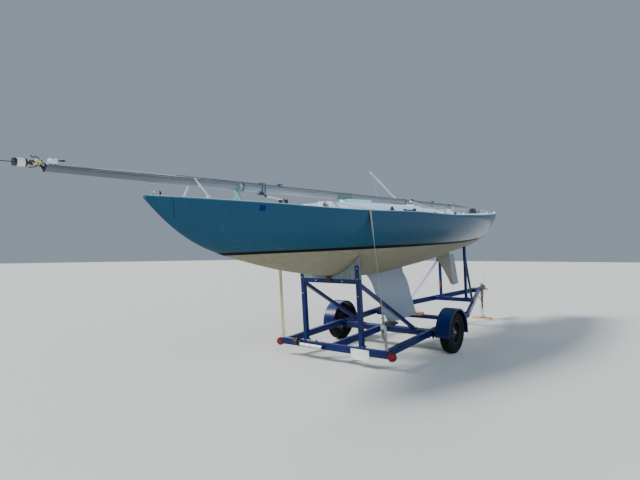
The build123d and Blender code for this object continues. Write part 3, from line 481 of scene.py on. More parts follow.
def tiller_finish():
    """Varnished laminated bar with a white ball at its end."""
    s = Shader("tiller_wood", coat=0.4)
    p = s.place(BOAT)
    grain = s.noise(s.scaled(p, (1.0, 16.0, 40.0)), 4.0, 6.0, 0.6)
    base = s.mix(s.ramp(grain, 0.3, 0.7), (0.78, 0.70, 0.56), (0.66, 0.55, 0.38))
    base = s.mix(s.patches(p, 9.0, 5.0, 0.55, 0.5, 0.7), base, (0.84, 0.80, 0.70))
    tip = s.ramp(s.axis(p, "X"), TILLER_TIP_X - 0.030, TILLER_TIP_X - 0.024)
    return s.finish(s.mix(tip, base, (0.80, 0.80, 0.77)), (grain, 0.22, 0.45), (grain, 0.0006, 0.4))


def dress_nodes():
    """Every CAD node gets its finish, the rest of the trailer its blue."""
    blue = frame_paint()
    steel = rusty_steel("galvanised", (0.33, 0.34, 0.34), 0.66)
    rusty = rusty_steel("axle_steel", (0.045, 0.050, 0.070), 0.52)
    worn = rusty_steel("jack_worn", (0.17, 0.155, 0.13))
    # deck, coaming and cuddy whites carry a strong blue tint: painted skylight, as white looks in open shade
    smooth = gelcoat("coaming_white", (0.79, 0.905, 1.0))
    finishes = {
        "hull_topsides": topside_paint(), "hull_bottom": bottom_paint(),
        # the deck's blue-white is painted skylight as well; its teal edge is real paint
        "deck": gelcoat("deck_white", (0.78, 0.90, 1.0), 0.7, (0.016, 0.090, 0.156)),
        "coaming": smooth, "cuddy": smooth, "cockpit_liner": gelcoat("liner_white", (0.66, 0.68, 0.68)),
        # keel and rudder are matte white paint; their grey-blue is painted shade under a blue sky
        "keel": streaked_paint("keel_grey", (0.240, 0.281, 0.352), (0.189, 0.230, 0.297),
                               (0.305, 0.339, 0.414)),
        "skeg": streaked_paint("skeg_cream", (0.180, 0.167, 0.125), (0.132, 0.121, 0.087),
                               (0.222, 0.207, 0.160)),
        "rudder": streaked_paint("rudder_grey", (0.246, 0.276, 0.348), (0.199, 0.228, 0.293),
                                 (0.292, 0.318, 0.396)),
        "tiller": tiller_finish(),
        "mast": alloy("mast_alloy", (0.36, 0.40, 0.44), 0.5, DRAWN, BOAT, (0.105, 0.115, 0.130)),
        "spreader": plastic("spreader_tan", (0.66, 0.595, 0.545), 0.4, 0.3), "antenna": antenna_finish(),
        "masthead_light": plastic("globe_white", (0.78, 0.79, 0.77), 0.2, 0.1), "foam_block": foam(),
        "crutch_bow": plastic("crutch_mint", (0.16, 0.33, 0.28), 0.7, 0.4),
        "crutch_stern": wood("crutch_wood", (0.62, 0.62, 0.58), (0.44, 0.43, 0.39), GRAIN_UP,
                             (0.45, 0.65), BOAT),
        "axle": rusty, "spring_port": rusty, "spring_starboard": rusty, "jack_crank": rusty,
        # bolster ply darkened to painted shade, as it lies in shade under the hull
        "bolster": wood("bolster_ply", (0.17, 0.205, 0.225), (0.075, 0.095, 0.105), GRAIN_UP),
        "bolster_pad": woven("bolster_carpet", (0.045, 0.043, 0.042)),
        "keel_pad_front": plastic("pad_rubber", (0.020, 0.020, 0.022), 0.7),
        "keel_pad_aft": wood("block_wood", (0.58, 0.38, 0.22), (0.40, 0.23, 0.12), GRAIN_AHEAD),
        "foot_plank": wood("plank_wood", (0.64, 0.40, 0.20), (0.46, 0.26, 0.11), GRAIN_ACROSS),
        "plate": plastic("plate_white", (0.84, 0.85, 0.86), 0.3, 0.15),
        "coupler": steel, "jack_tube": worn, "jack_leg": worn,
    }
    winch = alloy("winch_steel", (0.58, 0.59, 0.60))
    rim = rusty_steel("rim_grey", (0.022, 0.027, 0.042), 0.62)
    pairs = {"tyre": tyre_rubber(), "lamp": lamp_lens(), "winch": winch, "rim": rim}
    for name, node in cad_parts.items():
        node.data.materials.clear()
        node.data.materials.append(finishes.get(name) or pairs.get(name.split("_")[0], blue))


# Mesh helpers
def tree_of(*names):
    """The surfaces of some nodes, for laying pieces on them."""
    verts, faces = [], []
    for name in names:
        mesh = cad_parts[name].data
        start = len(verts)
        verts += [v.co.copy() for v in mesh.vertices]
        faces += [[start + i for i in p.vertices] for p in mesh.polygons]
    return BVHTree.FromPolygons(verts, faces)


def along(point, z_dir, x_hint):
    """A frame at a point with its z along one direction and its x near another."""
    z = z_dir.normalized()
    x = (x_hint - z * x_hint.dot(z)).normalized()
    return Matrix.Translation(point) @ Matrix((x, z.cross(x), z)).transposed().to_4x4()


def moved(matrix, x=0.0, y=0.0, z=0.0):
    return matrix @ Matrix.Translation((x, y, z))


def sideways(matrix, x, y, z):
    """A frame moved within another, its z axis along the other's y axis."""
    return moved(matrix, x, y, z) @ Matrix.Rotation(-QUARTER, 4, "X")


def lying(x, y, z):
    return RIG @ Matrix.Translation((x, y, z))


def facing_aft(x, y, z):
    """A frame on the rear beam's outer face, its z axis pointing out of it."""
    return lying(x, y, z) @ Matrix.Rotation(QUARTER, 4, "Y")


def circle(count):
    return [2 * math.pi * k / count for k in range(count)]


def oval(matrix, wide, high, count, lift=lambda t: 0.0):
    """Points round an oval in a frame's x-y plane, lifted off it by a function of the angle."""
    return [matrix @ Vector((wide * math.cos(t), high * math.sin(t), lift(t))) for t in circle(count)]


def box_line(corners, steps):
    """A closed line through some corners, with steps points on each side."""
    following = corners[1:] + corners[:1]
    return [start.lerp(stop, k / steps) for start, stop in zip(corners, following) for k in range(steps)]


def smooth_line(points, steps):
    """A smooth line through a few points."""
    ends = [points[0] * 2 - points[1]] + list(points) + [points[-1] * 2 - points[-2]]
    line = []
    for before, start, stop, after in zip(ends, ends[1:], ends[2:], ends[3:]):
        for k in range(steps):
            t = k / steps
            slope = (stop - before) * t
            bend = (2 * before - 5 * start + 4 * stop - after) * t * t
            twist = (3 * start - before - 3 * stop + after) * t**3
            line.append(0.5 * (2 * start + slope + bend + twist))
    return line + [points[-1]]


BEND_DEG = 32               # edges sharper than this stay hard
WEB_SECTION = ((-1, -0.6), (-0.94, -1), (0.94, -1), (1, -0.6), (1, 0.6), (0.94, 1), (-0.94, 1), (-1, 0.6))


class Piece:
    """One object of the scene, filled with shapes and then finished."""

    waiting = []

    def __init__(self, name, finish, slot, body="root"):
        self.name, self.finish, self.slot, self.body = name, finish, slot, body
        self.bm = bmesh.new()
        Piece.waiting.append(self)

    def block(self, matrix, size, at=(0, 0, 0), soft=0.002):
        """A box with softened edges, its size and place in the matrix's frame."""
        place = matrix @ Matrix.Translation(at) @ Matrix.Diagonal((*size, 1))
        made = bmesh.ops.create_cube(self.bm, size=1, matrix=place)
        edges = list({e for v in made["verts"] for e in v.link_edges})
        offset = min(soft, min(size) * 0.4)
        bmesh.ops.bevel(self.bm, geom=edges, offset=offset, segments=2, profile=0.6, affect="EDGES")

    def rings(self, rings, closed=False):
        """A skin over rings of points, with flat ends unless it is closed on itself."""
        rows = [[self.bm.verts.new(p) for p in ring] for ring in rings]
        for first, second in zip(rows, rows[1:] + rows[:1] if closed else rows[1:]):
            for i in range(len(first)):
                j = (i + 1) % len(first)
                self.bm.faces.new((first[i], first[j], second[j], second[i]))
        if not closed:
            self.bm.faces.new(list(reversed(rows[0])))
            self.bm.faces.new(rows[-1])

    def turned(self, matrix, profile, steps=20):
        """A turned shape from (height, radius) pairs about the matrix's z axis."""
        self.rings([oval(moved(matrix, z=z), r, r, steps) for z, r in profile])

    def nut(self, matrix, across, height):
        """A washer, a hexagon nut and the end of its bolt."""
        r = across / 2
        self.turned(matrix, [(0, r * 1.45), (0.0018, r * 1.45), (0.0022, r * 1.35)], 16)
        self.turned(matrix, [(0.002, r * 1.08), (0.002 + height * 0.85, r * 1.15),
                             (0.002 + height, r * 0.9)], 6)
        self.turned(matrix, [(height, r * 0.6), (height + 0.005, r * 0.58), (height + 0.0065, r * 0.4)], 12)

    def tube(self, path, radius, sides=8, closed=False):
        """A round tube along a path; the radius may be a list."""
        radii = radius if isinstance(radius, list) else [radius] * len(path)
        last = len(path) - 1
        side = None
        rings = []
        for i, point in enumerate(path):
            ahead = path[(i + 1) % len(path)] if closed else path[min(i + 1, last)]
            behind = path[i - 1] if closed else path[max(i - 1, 0)]
            run = (ahead - behind).normalized()
            side = side or run.orthogonal().normalized()
            side = (side - run * side.dot(run)).normalized()
            up = run.cross(side)
            rings.append([point + (side * math.cos(t) + up * math.sin(t)) * radii[i] for t in circle(sides)])
        self.rings(rings, closed)

    def strap(self, path, across, width, thick=0.003, turns=None):
        """Flat webbing along a path, its width along one direction but for a turn at each point."""
        last = len(path) - 1
        rings = []
        for i, point in enumerate(path):
            run = (path[min(i + 1, last)] - path[max(i - 1, 0)]).normalized()
            wide = (across - run * across.dot(run)).normalized()
            deep = run.cross(wide)
            turn = turns[i] if turns else 0.0
            u = (wide * math.cos(turn) + deep * math.sin(turn)) * width / 2
            v = (deep * math.cos(turn) - wide * math.sin(turn)) * thick / 2
            rings.append([point + u * x + v * y for x, y in WEB_SECTION])
        self.rings(rings)

    def done(self, bend=BEND_DEG):
        Piece.waiting.remove(self)
        mesh = bpy.data.meshes.new(self.name)
        bmesh.ops.recalc_face_normals(self.bm, faces=self.bm.faces)
        self.bm.to_mesh(mesh)
        self.bm.free()
        for face in mesh.polygons:
            face.use_smooth = True
        mesh.set_sharp_from_angle(angle=math.radians(bend))
        mesh.materials.append(self.finish)
        piece = add_object(self.name, mesh)
        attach(piece, self.body)
        return piece


DECK = tree_of("deck")
HULL = tree_of("hull_topsides", "hull_bottom", "deck")
TOPS = tree_of("deck", "cuddy", "coaming")
OVER_DECK = 1.3             # above every part of the deck


def on_deck(a, y, lift=0.0, tree=DECK):
    """The point on the deck at a place in the boat's plan, raised by lift."""
    return tree.ray_cast(boat(a, y, OVER_DECK), -BOAT_UP)[0] + BOAT_UP * lift


def deck_frame(a, y, lift=0.0):
    """A frame standing on the deck, its x axis pointing ahead."""
    return along(on_deck(a, y, lift), BOAT_UP, BOAT_AHEAD)


# Ends of the mast's axis: distance aft, distance to port, height above the waterline
MAST_HEAD, MAST_HEEL = Vector((-0.905, 0.0, 0.886)), Vector((8.900, -0.165, 0.718))


def mast_point(a):
    """Centre of the mast at a distance aft of the stem head."""
    return boat(*MAST_HEAD.lerp(MAST_HEEL, (a - MAST_HEAD.x) / (MAST_HEEL.x - MAST_HEAD.x)))


MAST_RUN = (mast_point(8.0) - mast_point(0.0)).normalized()
MAST_UP = (BOAT_UP - MAST_RUN * BOAT_UP.dot(MAST_RUN)).normalized()
MAST_SIDE = MAST_RUN.cross(MAST_UP).normalized()


def mast_frame(a):
    """A frame on the mast's axis: x to port, y up and z towards its head."""
    return along(mast_point(a), -MAST_RUN, MAST_SIDE)


def on_mast(a, up=0.0, out=0.0):
    """A point beside the mast: up from its axis and out to starboard of it."""
    return mast_frame(a) @ Vector((-out, up, 0))


def on_mast_frame(a, up):
    """A frame above or below the mast's axis, its z axis up and its x axis towards the heel."""
    return along(on_mast(a, up), MAST_UP, MAST_RUN)


# Hull trim: distance aft, half breadth of the deck
SHEER = ((0.06, 0.045), (0.2, 0.099), (0.45, 0.192), (0.8, 0.314), (1.25, 0.459), (1.8, 0.619), (2.5, 0.780),
         (3.2, 0.901), (4.0, 1.0), (5.0, 1.062), (6.0, 1.05), (7.0, 0.95), (7.8, 0.811), (8.5, 0.657),
         (9.0, 0.524), (9.24, 0.447))
RAIL_IN, RAIL_W, RAIL_H = 0.014, 0.019, 0.010
RAIL_SECTION = ((-0.5, 0), (0.5, 0), (0.40, 0.75), (0.25, 1), (-0.25, 1), (-0.40, 0.75))


def toe_rail():
    """A low tapered rail along each edge of the deck."""
    # the rail is teal paint; its pale blue is a painted highlight standing for the light on its top edge
    finish = gelcoat("rail_painted_highlight", (0.36, 0.52, 0.64))
    for side, way in SIDES:
        rings = []
        for place in smooth_line([Vector((a, half, 0)) for a, half in SHEER], 4):
            foot = on_deck(place.x, way * (place.y - RAIL_IN - RAIL_W / 2), -0.003)
            rings.append([foot + PORT * (way * u * RAIL_W) + BOAT_UP * (v * RAIL_H)
                          for u, v in RAIL_SECTION])
        Piece("toe_rail_" + side, finish, "deck_white").rings(rings)


# Places of the deck's fittings: distance aft, distance to port
STEM_HEAD = (0.17, 0)
JAM_CLEATS = ((1.57, 0.40), (1.67, 0.40))
SHEET_TRACK = ((3.70, 0.920), (3.80, 0.930), (3.93, 0.945))
TRACK_ENDS = ((3.69, 0.919), (3.95, 0.947))
SHROUD_PLATES = ((4.15, 0.86), (4.40, 0.86))
CAM_CLEATS = ((5.30, 0.66), (6.35, 0.60))
WINCH, WINCH_H = (5.75, 0.62), 0.098
QUARTER_BLOCKS = ((7.15, 0.62), (7.95, 0.50))
HATCH = (7.36, 0)
HORN_CLEATS = ((8.62, 0.46), (8.62, -0.46))
CHOCKS = ((8.72, 0.575), (9.06, 0.30))
ARCHES = ((8.50, 0.36), (8.80, 0.33))
ARCH_LINE = ((-0.11, 0.0), (-0.09, 0.055), (0, 0.090), (0.09, 0.055), (0.11, 0.0))
# Turned sections: height, radius
BOW_ROLLER = ((0, 0.020), (0.004, 0.024), (0.018, 0.018), (0.032, 0.024), (0.036, 0.020))
BOW_PIN = ((0, 0.012), (0.012, 0.009), (0.024, 0.008), (0.036, 0.009), (0.048, 0.012))
HORN_LEG = ((0, 0.010), (0.012, 0.008), (0.026, 0.009))
SHROUD_PIN = ((0, 0.010), (0.003, 0.011), (0.017, 0.011), (0.020, 0.010))
CAM = ((0, 0.012), (0.010, 0.013), (0.020, 0.011), (0.022, 0.006))
SHEAVE = ((0, 0.020), (0.003, 0.024), (0.010, 0.019), (0.017, 0.024), (0.020, 0.020))
WINCH_CAP = ((0.0, 0.030), (0.004, 0.030), (0.006, 0.026), (0.006, 0.012), (0.001, 0.011))


def stem_head(steel, dark):
    """Casting on the stem head with its roller and pin."""
    foot = deck_frame(*STEM_HEAD)
    steel.block(foot, (0.11, 0.052, 0.008), (0, 0, 0.004))
    for y in (-0.022, 0.022):
        steel.block(foot, (0.060, 0.005, 0.050), (0.018, y, 0.030), 0.0015)
    dark.turned(sideways(foot, -0.016, -0.018, 0.030), BOW_ROLLER)
    steel.turned(sideways(foot, 0.03, -0.024, 0.038), BOW_PIN)


def horn_cleat(steel, foot):
    steel.block(foot, (0.085, 0.030, 0.010), (0, 0, 0.005))
    for x in (-0.024, 0.024):
        steel.turned(moved(foot, x, 0, 0.008), HORN_LEG)
    horn = ((-0.085, 0.046), (-0.045, 0.038), (0.0, 0.034), (0.045, 0.038), (0.085, 0.046))
    steel.tube(smooth_line([foot @ Vector((x, 0, z)) for x, z in horn], 4), 0.0085)


def shroud_plate(steel, foot):
    steel.block(foot, (0.070, 0.034, 0.005), (0, 0, 0.0025), 0.001)
    steel.block(foot, (0.032, 0.006, 0.048), (0, 0, 0.028), 0.0015)
    steel.turned(sideways(foot, 0, -0.010, 0.036), SHROUD_PIN)


def sheet_track(dark, way):
    """Track of the jib's sheet with its slider and end stop."""
    dark.strap([on_deck(a, way * y, 0.013) for a, y in SHEET_TRACK], PORT, 0.030, 0.022)
    for (a, y), length, height in zip(TRACK_ENDS, (0.03, 0.045), (0.028, 0.042)):
        dark.block(deck_frame(a, way * y), (length, 0.034, height), (0, 0, height / 2 + 0.004), 0.005)


def cam_cleat(dark, foot):
    dark.block(foot, (0.070, 0.045, 0.012), (0, 0, 0.006), 0.003)
    for y in (-0.013, 0.013):
        dark.turned(moved(foot, 0, y, 0.012), CAM, 14)


def quarter_block(steel, dark, foot):
    """A block on an eye."""
    steel.block(foot, (0.050, 0.030, 0.005), (0, 0, 0.0025), 0.001)
    steel.tube(oval(sideways(foot, 0, 0, 0.014), 0.015, -0.015, 16), 0.0032, closed=True)
    dark.turned(sideways(foot, 0.012, -0.010, 0.040), SHEAVE)


def quarter_chock(white, foot):
    white.block(foot, (0.090, 0.034, 0.012), (0, 0, 0.006), 0.003)
    for x in (-0.026, 0.026):
        white.block(foot, (0.026, 0.030, 0.034), (x, 0, 0.024), 0.006)


def deck_fittings():
    steel = Piece("deck_fittings", alloy("deck_steel", (0.60, 0.61, 0.62)), "fitting_steel")
    white = Piece("deck_mouldings", gelcoat("moulding_white", (0.80, 0.82, 0.85)), "deck_white")
    dark = Piece("deck_blocks", plastic("deck_black", (0.016, 0.016, 0.018), 0.35), "tyre_black")
    stem_head(steel, dark)
    for place, height in zip(JAM_CLEATS, (0.046, 0.060)):
        dark.block(deck_frame(*place), (0.038, 0.034, height), (0, 0, height / 2), 0.005)
    for place in HORN_CLEATS:
        horn_cleat(steel, deck_frame(*place))
    white.block(deck_frame(*HATCH), (0.44, 0.46, 0.036), (0, 0, 0.012), 0.012)
    for _, way in SIDES:
        for a, y in SHROUD_PLATES:
            shroud_plate(steel, deck_frame(a, way * y))
        sheet_track(dark, way)
        for a, y in CAM_CLEATS:
            cam_cleat(dark, deck_frame(a, way * y))
        for a, y in QUARTER_BLOCKS:
            quarter_block(steel, dark, deck_frame(a, way * y))
        for a, y in CHOCKS:
            quarter_chock(white, deck_frame(a, way * y))
        for a, y in ARCHES:
            arch = [on_deck(a + run, way * y, lift) for run, lift in ARCH_LINE]
            steel.tube(smooth_line(arch, 4), 0.0065)
        dark.turned(deck_frame(WINCH[0], way * WINCH[1], WINCH_H), WINCH_CAP)


# Taut lines
LOOP_STEPS = 120            # rays cast each way from the middle of a section


def outer_chain(points):
    """The points of a sorted list that a taut line round one side of it touches."""
    kept = []
    for p in points:
        while len(kept) > 1:
            (ax, ay), (bx, by) = kept[-2:]
            if (bx - ax) * (p[1] - ay) - (by - ay) * (p[0] - ax) > 0:
                break
            kept.pop()
        kept.append(p)
    return kept


def taut_line(origin, rise, tree, first, last, lift, spread, within=9.0):
    """The shortest line outside a section of a surface, from the first point over it to the last.

    The section's plane holds the origin, the rise and the direction to port.
    """
    start, stop = [(p.y, (p - origin).dot(rise)) for p in (first, last)]
    points = {start, stop}
    for k in range(-LOOP_STEPS, LOOP_STEPS + 1):
        across = spread * k / LOOP_STEPS
        rays = [(origin + PORT * across + rise * spread * 1.5, -rise)]
        rays += [(origin + PORT * way * 3 + rise * across, -PORT * way) for way in (1, -1)]
        for source, direction in rays:
            hit = tree.ray_cast(source, direction)[0]
            if hit is not None and abs(hit.y) < within:
                points.add((hit.y, (hit - origin).dot(rise)))
    points = sorted(points)
    loop = outer_chain(points)[:-1] + outer_chain(points[::-1])[:-1]
    begin, end = loop.index(start), loop.index(stop)
    if begin > end:
        end += len(loop)
    section = [Vector(loop[k % len(loop)]) for k in range(begin, end + 1)]
    line = []
    for i, point in enumerate(section):
        run = section[min(i + 1, len(section) - 1)] - section[max(i - 1, 0)]
        place = point + Vector((run.y, -run.x)).normalized() * lift
        line.append(origin + PORT * place.x + rise * place.y)
    return line


STRAP_PORT, STRAP_STARBOARD = rig(1.800, 0.940, 0.105), rig(1.800, -0.950, 0.105)
STRAP_OVER = boat(2.85, 0, 0.6)         # a point of the plane in which the strap lies
STRAP_STEPS = 14
HOOK_WIRE = ((0, -0.018, 0.10), (0, -0.018, 0.02), (0.016, 0, -0.010), (0.030, 0.014, 0.004))
RATCHET_SHAFT = ((0, 0.018), (0.006, 0.020), (0.008, 0.013), (0.072, 0.013), (0.074, 0.020), (0.080, 0.018))


def strap_turn(share):
    """Turn in degrees of the port strap, from its hook at 0 to the deck's edge at 1."""
    if share < 0.42:
        return 88.0 - 60.0 * max(0.0, share - 0.12) / 0.30
    return 28.0 * min(1.0, (1.0 - share) / 0.22)


def ratchet(metal, at):
    """Side plates, handle, shaft and pin."""
    for y in (-0.030, 0.030):
        metal.block(at, (0.040, 0.003, 0.20), (0.014, y, 0), 0.0012)
        metal.block(at, (0.024, 0.003, 0.15), (0.038, y * 0.86, 0.050), 0.0012)
    metal.turned(sideways(at, 0.016, -0.040, -0.010), RATCHET_SHAFT)
    metal.turned(sideways(at, 0.044, -0.032, 0.122), [(0, 0.006), (0.064, 0.006)], 12)
    metal.block(at, (0.004, 0.056, 0.060), (0.046, 0, 0.090), 0.0015)


def beam_hook(metal, at):
    """Two crossed wires that hook over the beam."""
    for way in (1, -1):
        metal.tube(smooth_line([at @ Vector((x, y * way, z)) for x, y, z in HOOK_WIRE], 5), 0.006)


def hold_down_strap():
    """Webbing over the deck to both ends of the rear beam, with a ratchet to port."""
    # one webbing: grey to port is painted shade, pale yellow to starboard is painted sunlight
    web = woven("strap_shade_and_sun", (0.29, 0.295, 0.27), 0.25, starboard=(0.80, 0.75, 0.42))
    origin = Vector((STRAP_PORT.x, 0, STRAP_PORT.z))
    rise = (STRAP_OVER - origin).normalized()
    tree = tree_of("hull_topsides", "hull_bottom", "deck", "cuddy")
    path = taut_line(origin, rise, tree, STRAP_PORT, STRAP_STARBOARD, 0.004, 2.2)
    port_end, starboard_end = [[end.lerp(near, k / STRAP_STEPS) for k in range(STRAP_STEPS)]
                               for end, near in ((path[0], path[1]), (path[-1], path[-2]))]
    line = port_end + path[1:-1] + starboard_end[::-1]
    turns = [strap_turn(k / STRAP_STEPS) for k in range(STRAP_STEPS)] + [0.0] * (len(path) - 2)
    turns += [60.0 * k / STRAP_STEPS for k in range(1, STRAP_STEPS + 1)]
    strap = Piece("hold_down_strap", web, "carpet")
    strap.strap(line, PORT.cross(rise), 0.050, turns=[math.radians(turn) for turn in turns])

    steel = rusty_steel("ratchet_steel", (0.50, 0.51, 0.52), 0.70, None)
    metal = Piece("strap_ratchets", steel, "fitting_steel")
    run = path[1] - path[0]
    ratchet(metal, along(path[0] + run * 0.13, run, AHEAD))
    beam_hook(metal, along(path[0] + run * 0.06, run, AHEAD))
    far_run = path[-2] - path[-1]
    beam_hook(metal, along(path[-1] + far_run * 0.0105, far_run, AHEAD))

    # free tail of webbing, wound round the strap above the ratchet
    tail = Piece("strap_tail", web, "carpet")
    run.normalize()
    for k in range(3):
        at = along(path[0] + run * (0.40 + 0.05 * k), run, AHEAD)
        tail.tube(oval(at, 0.012, 0.029, 16, lambda t: 0.010 * math.sin(t + k)), 0.0045, 6, closed=True)


LASHING_A, LASHING_Y = 0.64, 0.225


def mast_lashing():
    """Webbing from rail to rail over the mast near the bow, with its loose end tied round it."""
    piece = Piece("mast_lashing", woven("lashing_web", (0.90, 0.80, 0.83), 0.10), "antenna_white")
    port, starboard = [on_deck(LASHING_A, way * LASHING_Y, 0.024) for way in (1, -1)]
    path = taut_line(boat(LASHING_A, 0, 0.60), BOAT_UP, tree_of("mast", "deck"), port, starboard, 0.003,
                     0.30, within=0.20)
    piece.strap(path, MAST_RUN, 0.022)
    for way in (1, -1):
        hook = along(on_deck(LASHING_A, way * LASHING_Y), BOAT_UP, MAST_RUN)
        piece.block(hook, (0.050, 0.010, 0.034), (0, 0, 0.016), 0.003)
    knot = (path[0] + path[1]) / 2
    for k in range(3):
        place = along(knot.lerp(path[1], 0.12 * k), path[1] - path[0], MAST_RUN)
        turn = oval(place, 0.0205, 0.0065, 14, lambda t: 0.005 * math.sin(t + k))
        piece.tube(turn, 0.0035, 6, closed=True)


STERN_LINE_R = 0.0032


def stern_line():
    """Thin taut line from the port quarter to the head of the jack."""
    piece = Piece("stern_line", woven("line_white", (0.66, 0.66, 0.62), 0.2, ROPE_THREAD), "antenna_white")
    low = rig(JACK_X, 0.100, 0.205)
    deck = on_deck(8.95, 0.50, 0.030)
    origin = Vector((low.x, 0, low.z))
    rise = Vector((deck.x - low.x, 0, deck.z - low.z)).normalized()
    path = taut_line(origin, rise, HULL, low, deck, 0.004, 2.6)
    piece.tube(path, STERN_LINE_R)
    cleat = on_deck(8.95, 0.47, 0.012)
    slack = (path[-1] + cleat) / 2 + UP * 0.006
    piece.tube(smooth_line([path[-1], slack, cleat], 5), STERN_LINE_R)
    turn = Matrix.Translation(low - PORT * 0.026)
    piece.tube(oval(turn, 0.030, 0.030, 16, lambda t: 0.004 * math.sin(3 * t)), 0.0035, closed=True)


WRAP_CORNERS = ((1, 1), (1, -1), (-1, -1), (-1, 1), (1, 1))


def keel_strap():
    """Pale lavender webbing from the starboard stern post down to the keel beam, with a red buckle."""
    piece = Piece("keel_strap", woven("strap_lavender", (0.46, 0.34, 0.70), 0.08), "carpet")
    top, low = rig(-2.735, -0.29, 0.960), rig(-0.985, -0.34, 0.045)
    piece.strap([top, (top + low) / 2 - UP * 0.004, low], PORT, 0.060)
    # turns round the post and round the beam
    x, y = STERN_POST
    for z in (0.943, 0.973):
        turn = [rig(x + u * 0.029, v * 0.029 - y, z) for u, v in WRAP_CORNERS]
        piece.strap(turn, RIG.to_3x3() @ UP, 0.026)
    turn = [rig(-0.985 + u * 0.060, -0.34, -0.001 + v * 0.034) for u, v in WRAP_CORNERS]
    piece.strap(turn, PORT, 0.045)
    red = Piece("strap_buckle", plastic("buckle_red", (0.10, 0.010, 0.014), 0.5), "lamp_red")
    run = (low - top).normalized()
    at = along(top + run * 0.05, run, UP)
    red.block(at, (0.045, 0.062, 0.075), soft=0.006)
    red.block(at, (0.060, 0.030, 0.030), (0.010, 0, 0.055), 0.005)


# Mast and what lies on it
HEAD_SHEAVE = ((0, 0.021), (0.008, 0.021), (0.014, 0.015), (0.020, 0.021), (0.028, 0.021))
HEAD_PIN = ((0, 0.008), (0.004, 0.006), (0.058, 0.006), (0.062, 0.008))
LIGHT_FOOT = ((0, 0.016), (0.02, 0.013), (0.055, 0.012), (0.06, 0.008))
HEAD_HOOK = ((-0.86, 0.030), (-0.905, 0.045), (-0.93, 0.012), (-0.91, -0.030))       # aft, above the axis
HEAD_WIRE = ((-0.52, 0.040), (-0.69, 0.052), (-0.84, 0.047))
TAPE_LUMP = ((-0.912, 0.905), (-0.922, 0.913), (-0.936, 0.922), (-0.952, 0.925), (-0.968, 0.921),
             (-0.992, 0.915))           # aft, above the waterline
TAPE_RADII = [0.010, 0.021, 0.026, 0.027, 0.021, 0.0125]
HEAD_LEVERS = (((-0.935, 0.950), (-0.962, 0.972), (-0.985, 0.962), (-1.004, 0.978)),
               ((-0.950, 0.905), (-0.972, 0.885), (-1.000, 0.880), (-1.022, 0.872)),
               ((-0.975, 0.935), (-1.000, 0.934), (-1.016, 0.930)),
               ((-0.925, 0.945), (-0.912, 0.925), (-0.905, 0.895), (-0.890, 0.868)))


def masthead(metal, dark):
    """Sheave and dark rim at the mast's end, the light's foot and wires, taped wire and levers."""
    head = along(mast_point(-0.86), -MAST_RUN, MAST_UP)
    for y in (0.027, -0.027):
        dark.block(head, (0.034, 0.004, 0.030), (0.016, y, 0.046), 0.001)
    metal.turned(sideways(head, 0.016, -0.031, 0.055), HEAD_PIN, 12)
    dark.turned(sideways(head, 0.016, -0.016, 0.055), HEAD_SHEAVE)
    dark.turned(on_mast_frame(-0.825, 0.03), LIGHT_FOOT)
    metal.tube(smooth_line([on_mast(a, up) for a, up in HEAD_HOOK], 5), 0.0035)
    metal.tube(smooth_line([on_mast(a, up) for a, up in HEAD_WIRE], 6), 0.0022)
    dark.rings([oval(mast_frame(a), 0.0292, 0.0375, 24) for a in (-0.908, -0.902, -0.896)])
    tape = Piece("mast_tape", plastic("tape_yellow", (0.70, 0.61, 0.30), 0.5, 0.4), "antenna_white")
    tape.tube([boat(a, 0, z) for a, z in TAPE_LUMP], TAPE_RADII, 14)
    chance = random.Random(11)
    for k in range(6):
        at = boat(-0.925 - 0.014 * k, 0.004 * (k % 3 - 1), 0.918)
        size = chance.uniform(0.019, 0.029)
        lean = Matrix.Rotation(chance.uniform(-0.9, 0.9), 3, "Z")
        lean = lean @ Matrix.Rotation(chance.uniform(-0.6, 0.6), 3, "Y")
        wire = [at + lean @ Vector((0.007 * math.sin(2 * t), size * math.cos(t), size * 0.9 * math.sin(t)))
                for t in circle(18)]
        (dark if k % 3 else tape).tube(wire, 0.0036, 6, closed=True)
    for lever in HEAD_LEVERS:
        dark.tube(smooth_line([boat(a, 0.012, z) for a, z in lever], 4), 0.0042, 6)


def masthead_sensor(metal, dark):
    """Plum tip on a dark stalk abaft the light, with its wire."""
    red = Piece("masthead_sensor", plastic("sensor_plum", (0.050, 0.010, 0.020), 0.4), "lamp_red")
    red.tube([boat(a, -0.002, 0.957) for a in (-0.750, -0.740, -0.722)], [0.008, 0.0095, 0.006], 12)
    dark.tube([boat(-0.792, 0, 0.950), boat(-0.770, -0.001, 0.953), boat(-0.748, -0.002, 0.956)], 0.0065, 10)
    wire = [boat(-0.728, -0.002, 0.956), boat(-0.700, -0.002, 0.950), on_mast(-0.670, 0.040)]
    metal.tube(smooth_line(wire, 4), 0.0024, 6)


SPREADER_A = 5.33
SPREADER_TIP = boat(5.03, -0.49, 1.356)
SPREADER_CAP = ((0, 0.0200), (0.004, 0.0225), (0.026, 0.0225), (0.034, 0.018), (0.038, 0.008))
SPREADER_BAND = ((0, 0.0210), (0.004, 0.0300), (0.030, 0.0300), (0.034, 0.0210))
SPREADER_ROOT = ((0, 0.022), (0.004, 0.028), (0.030, 0.028), (0.034, 0.022))


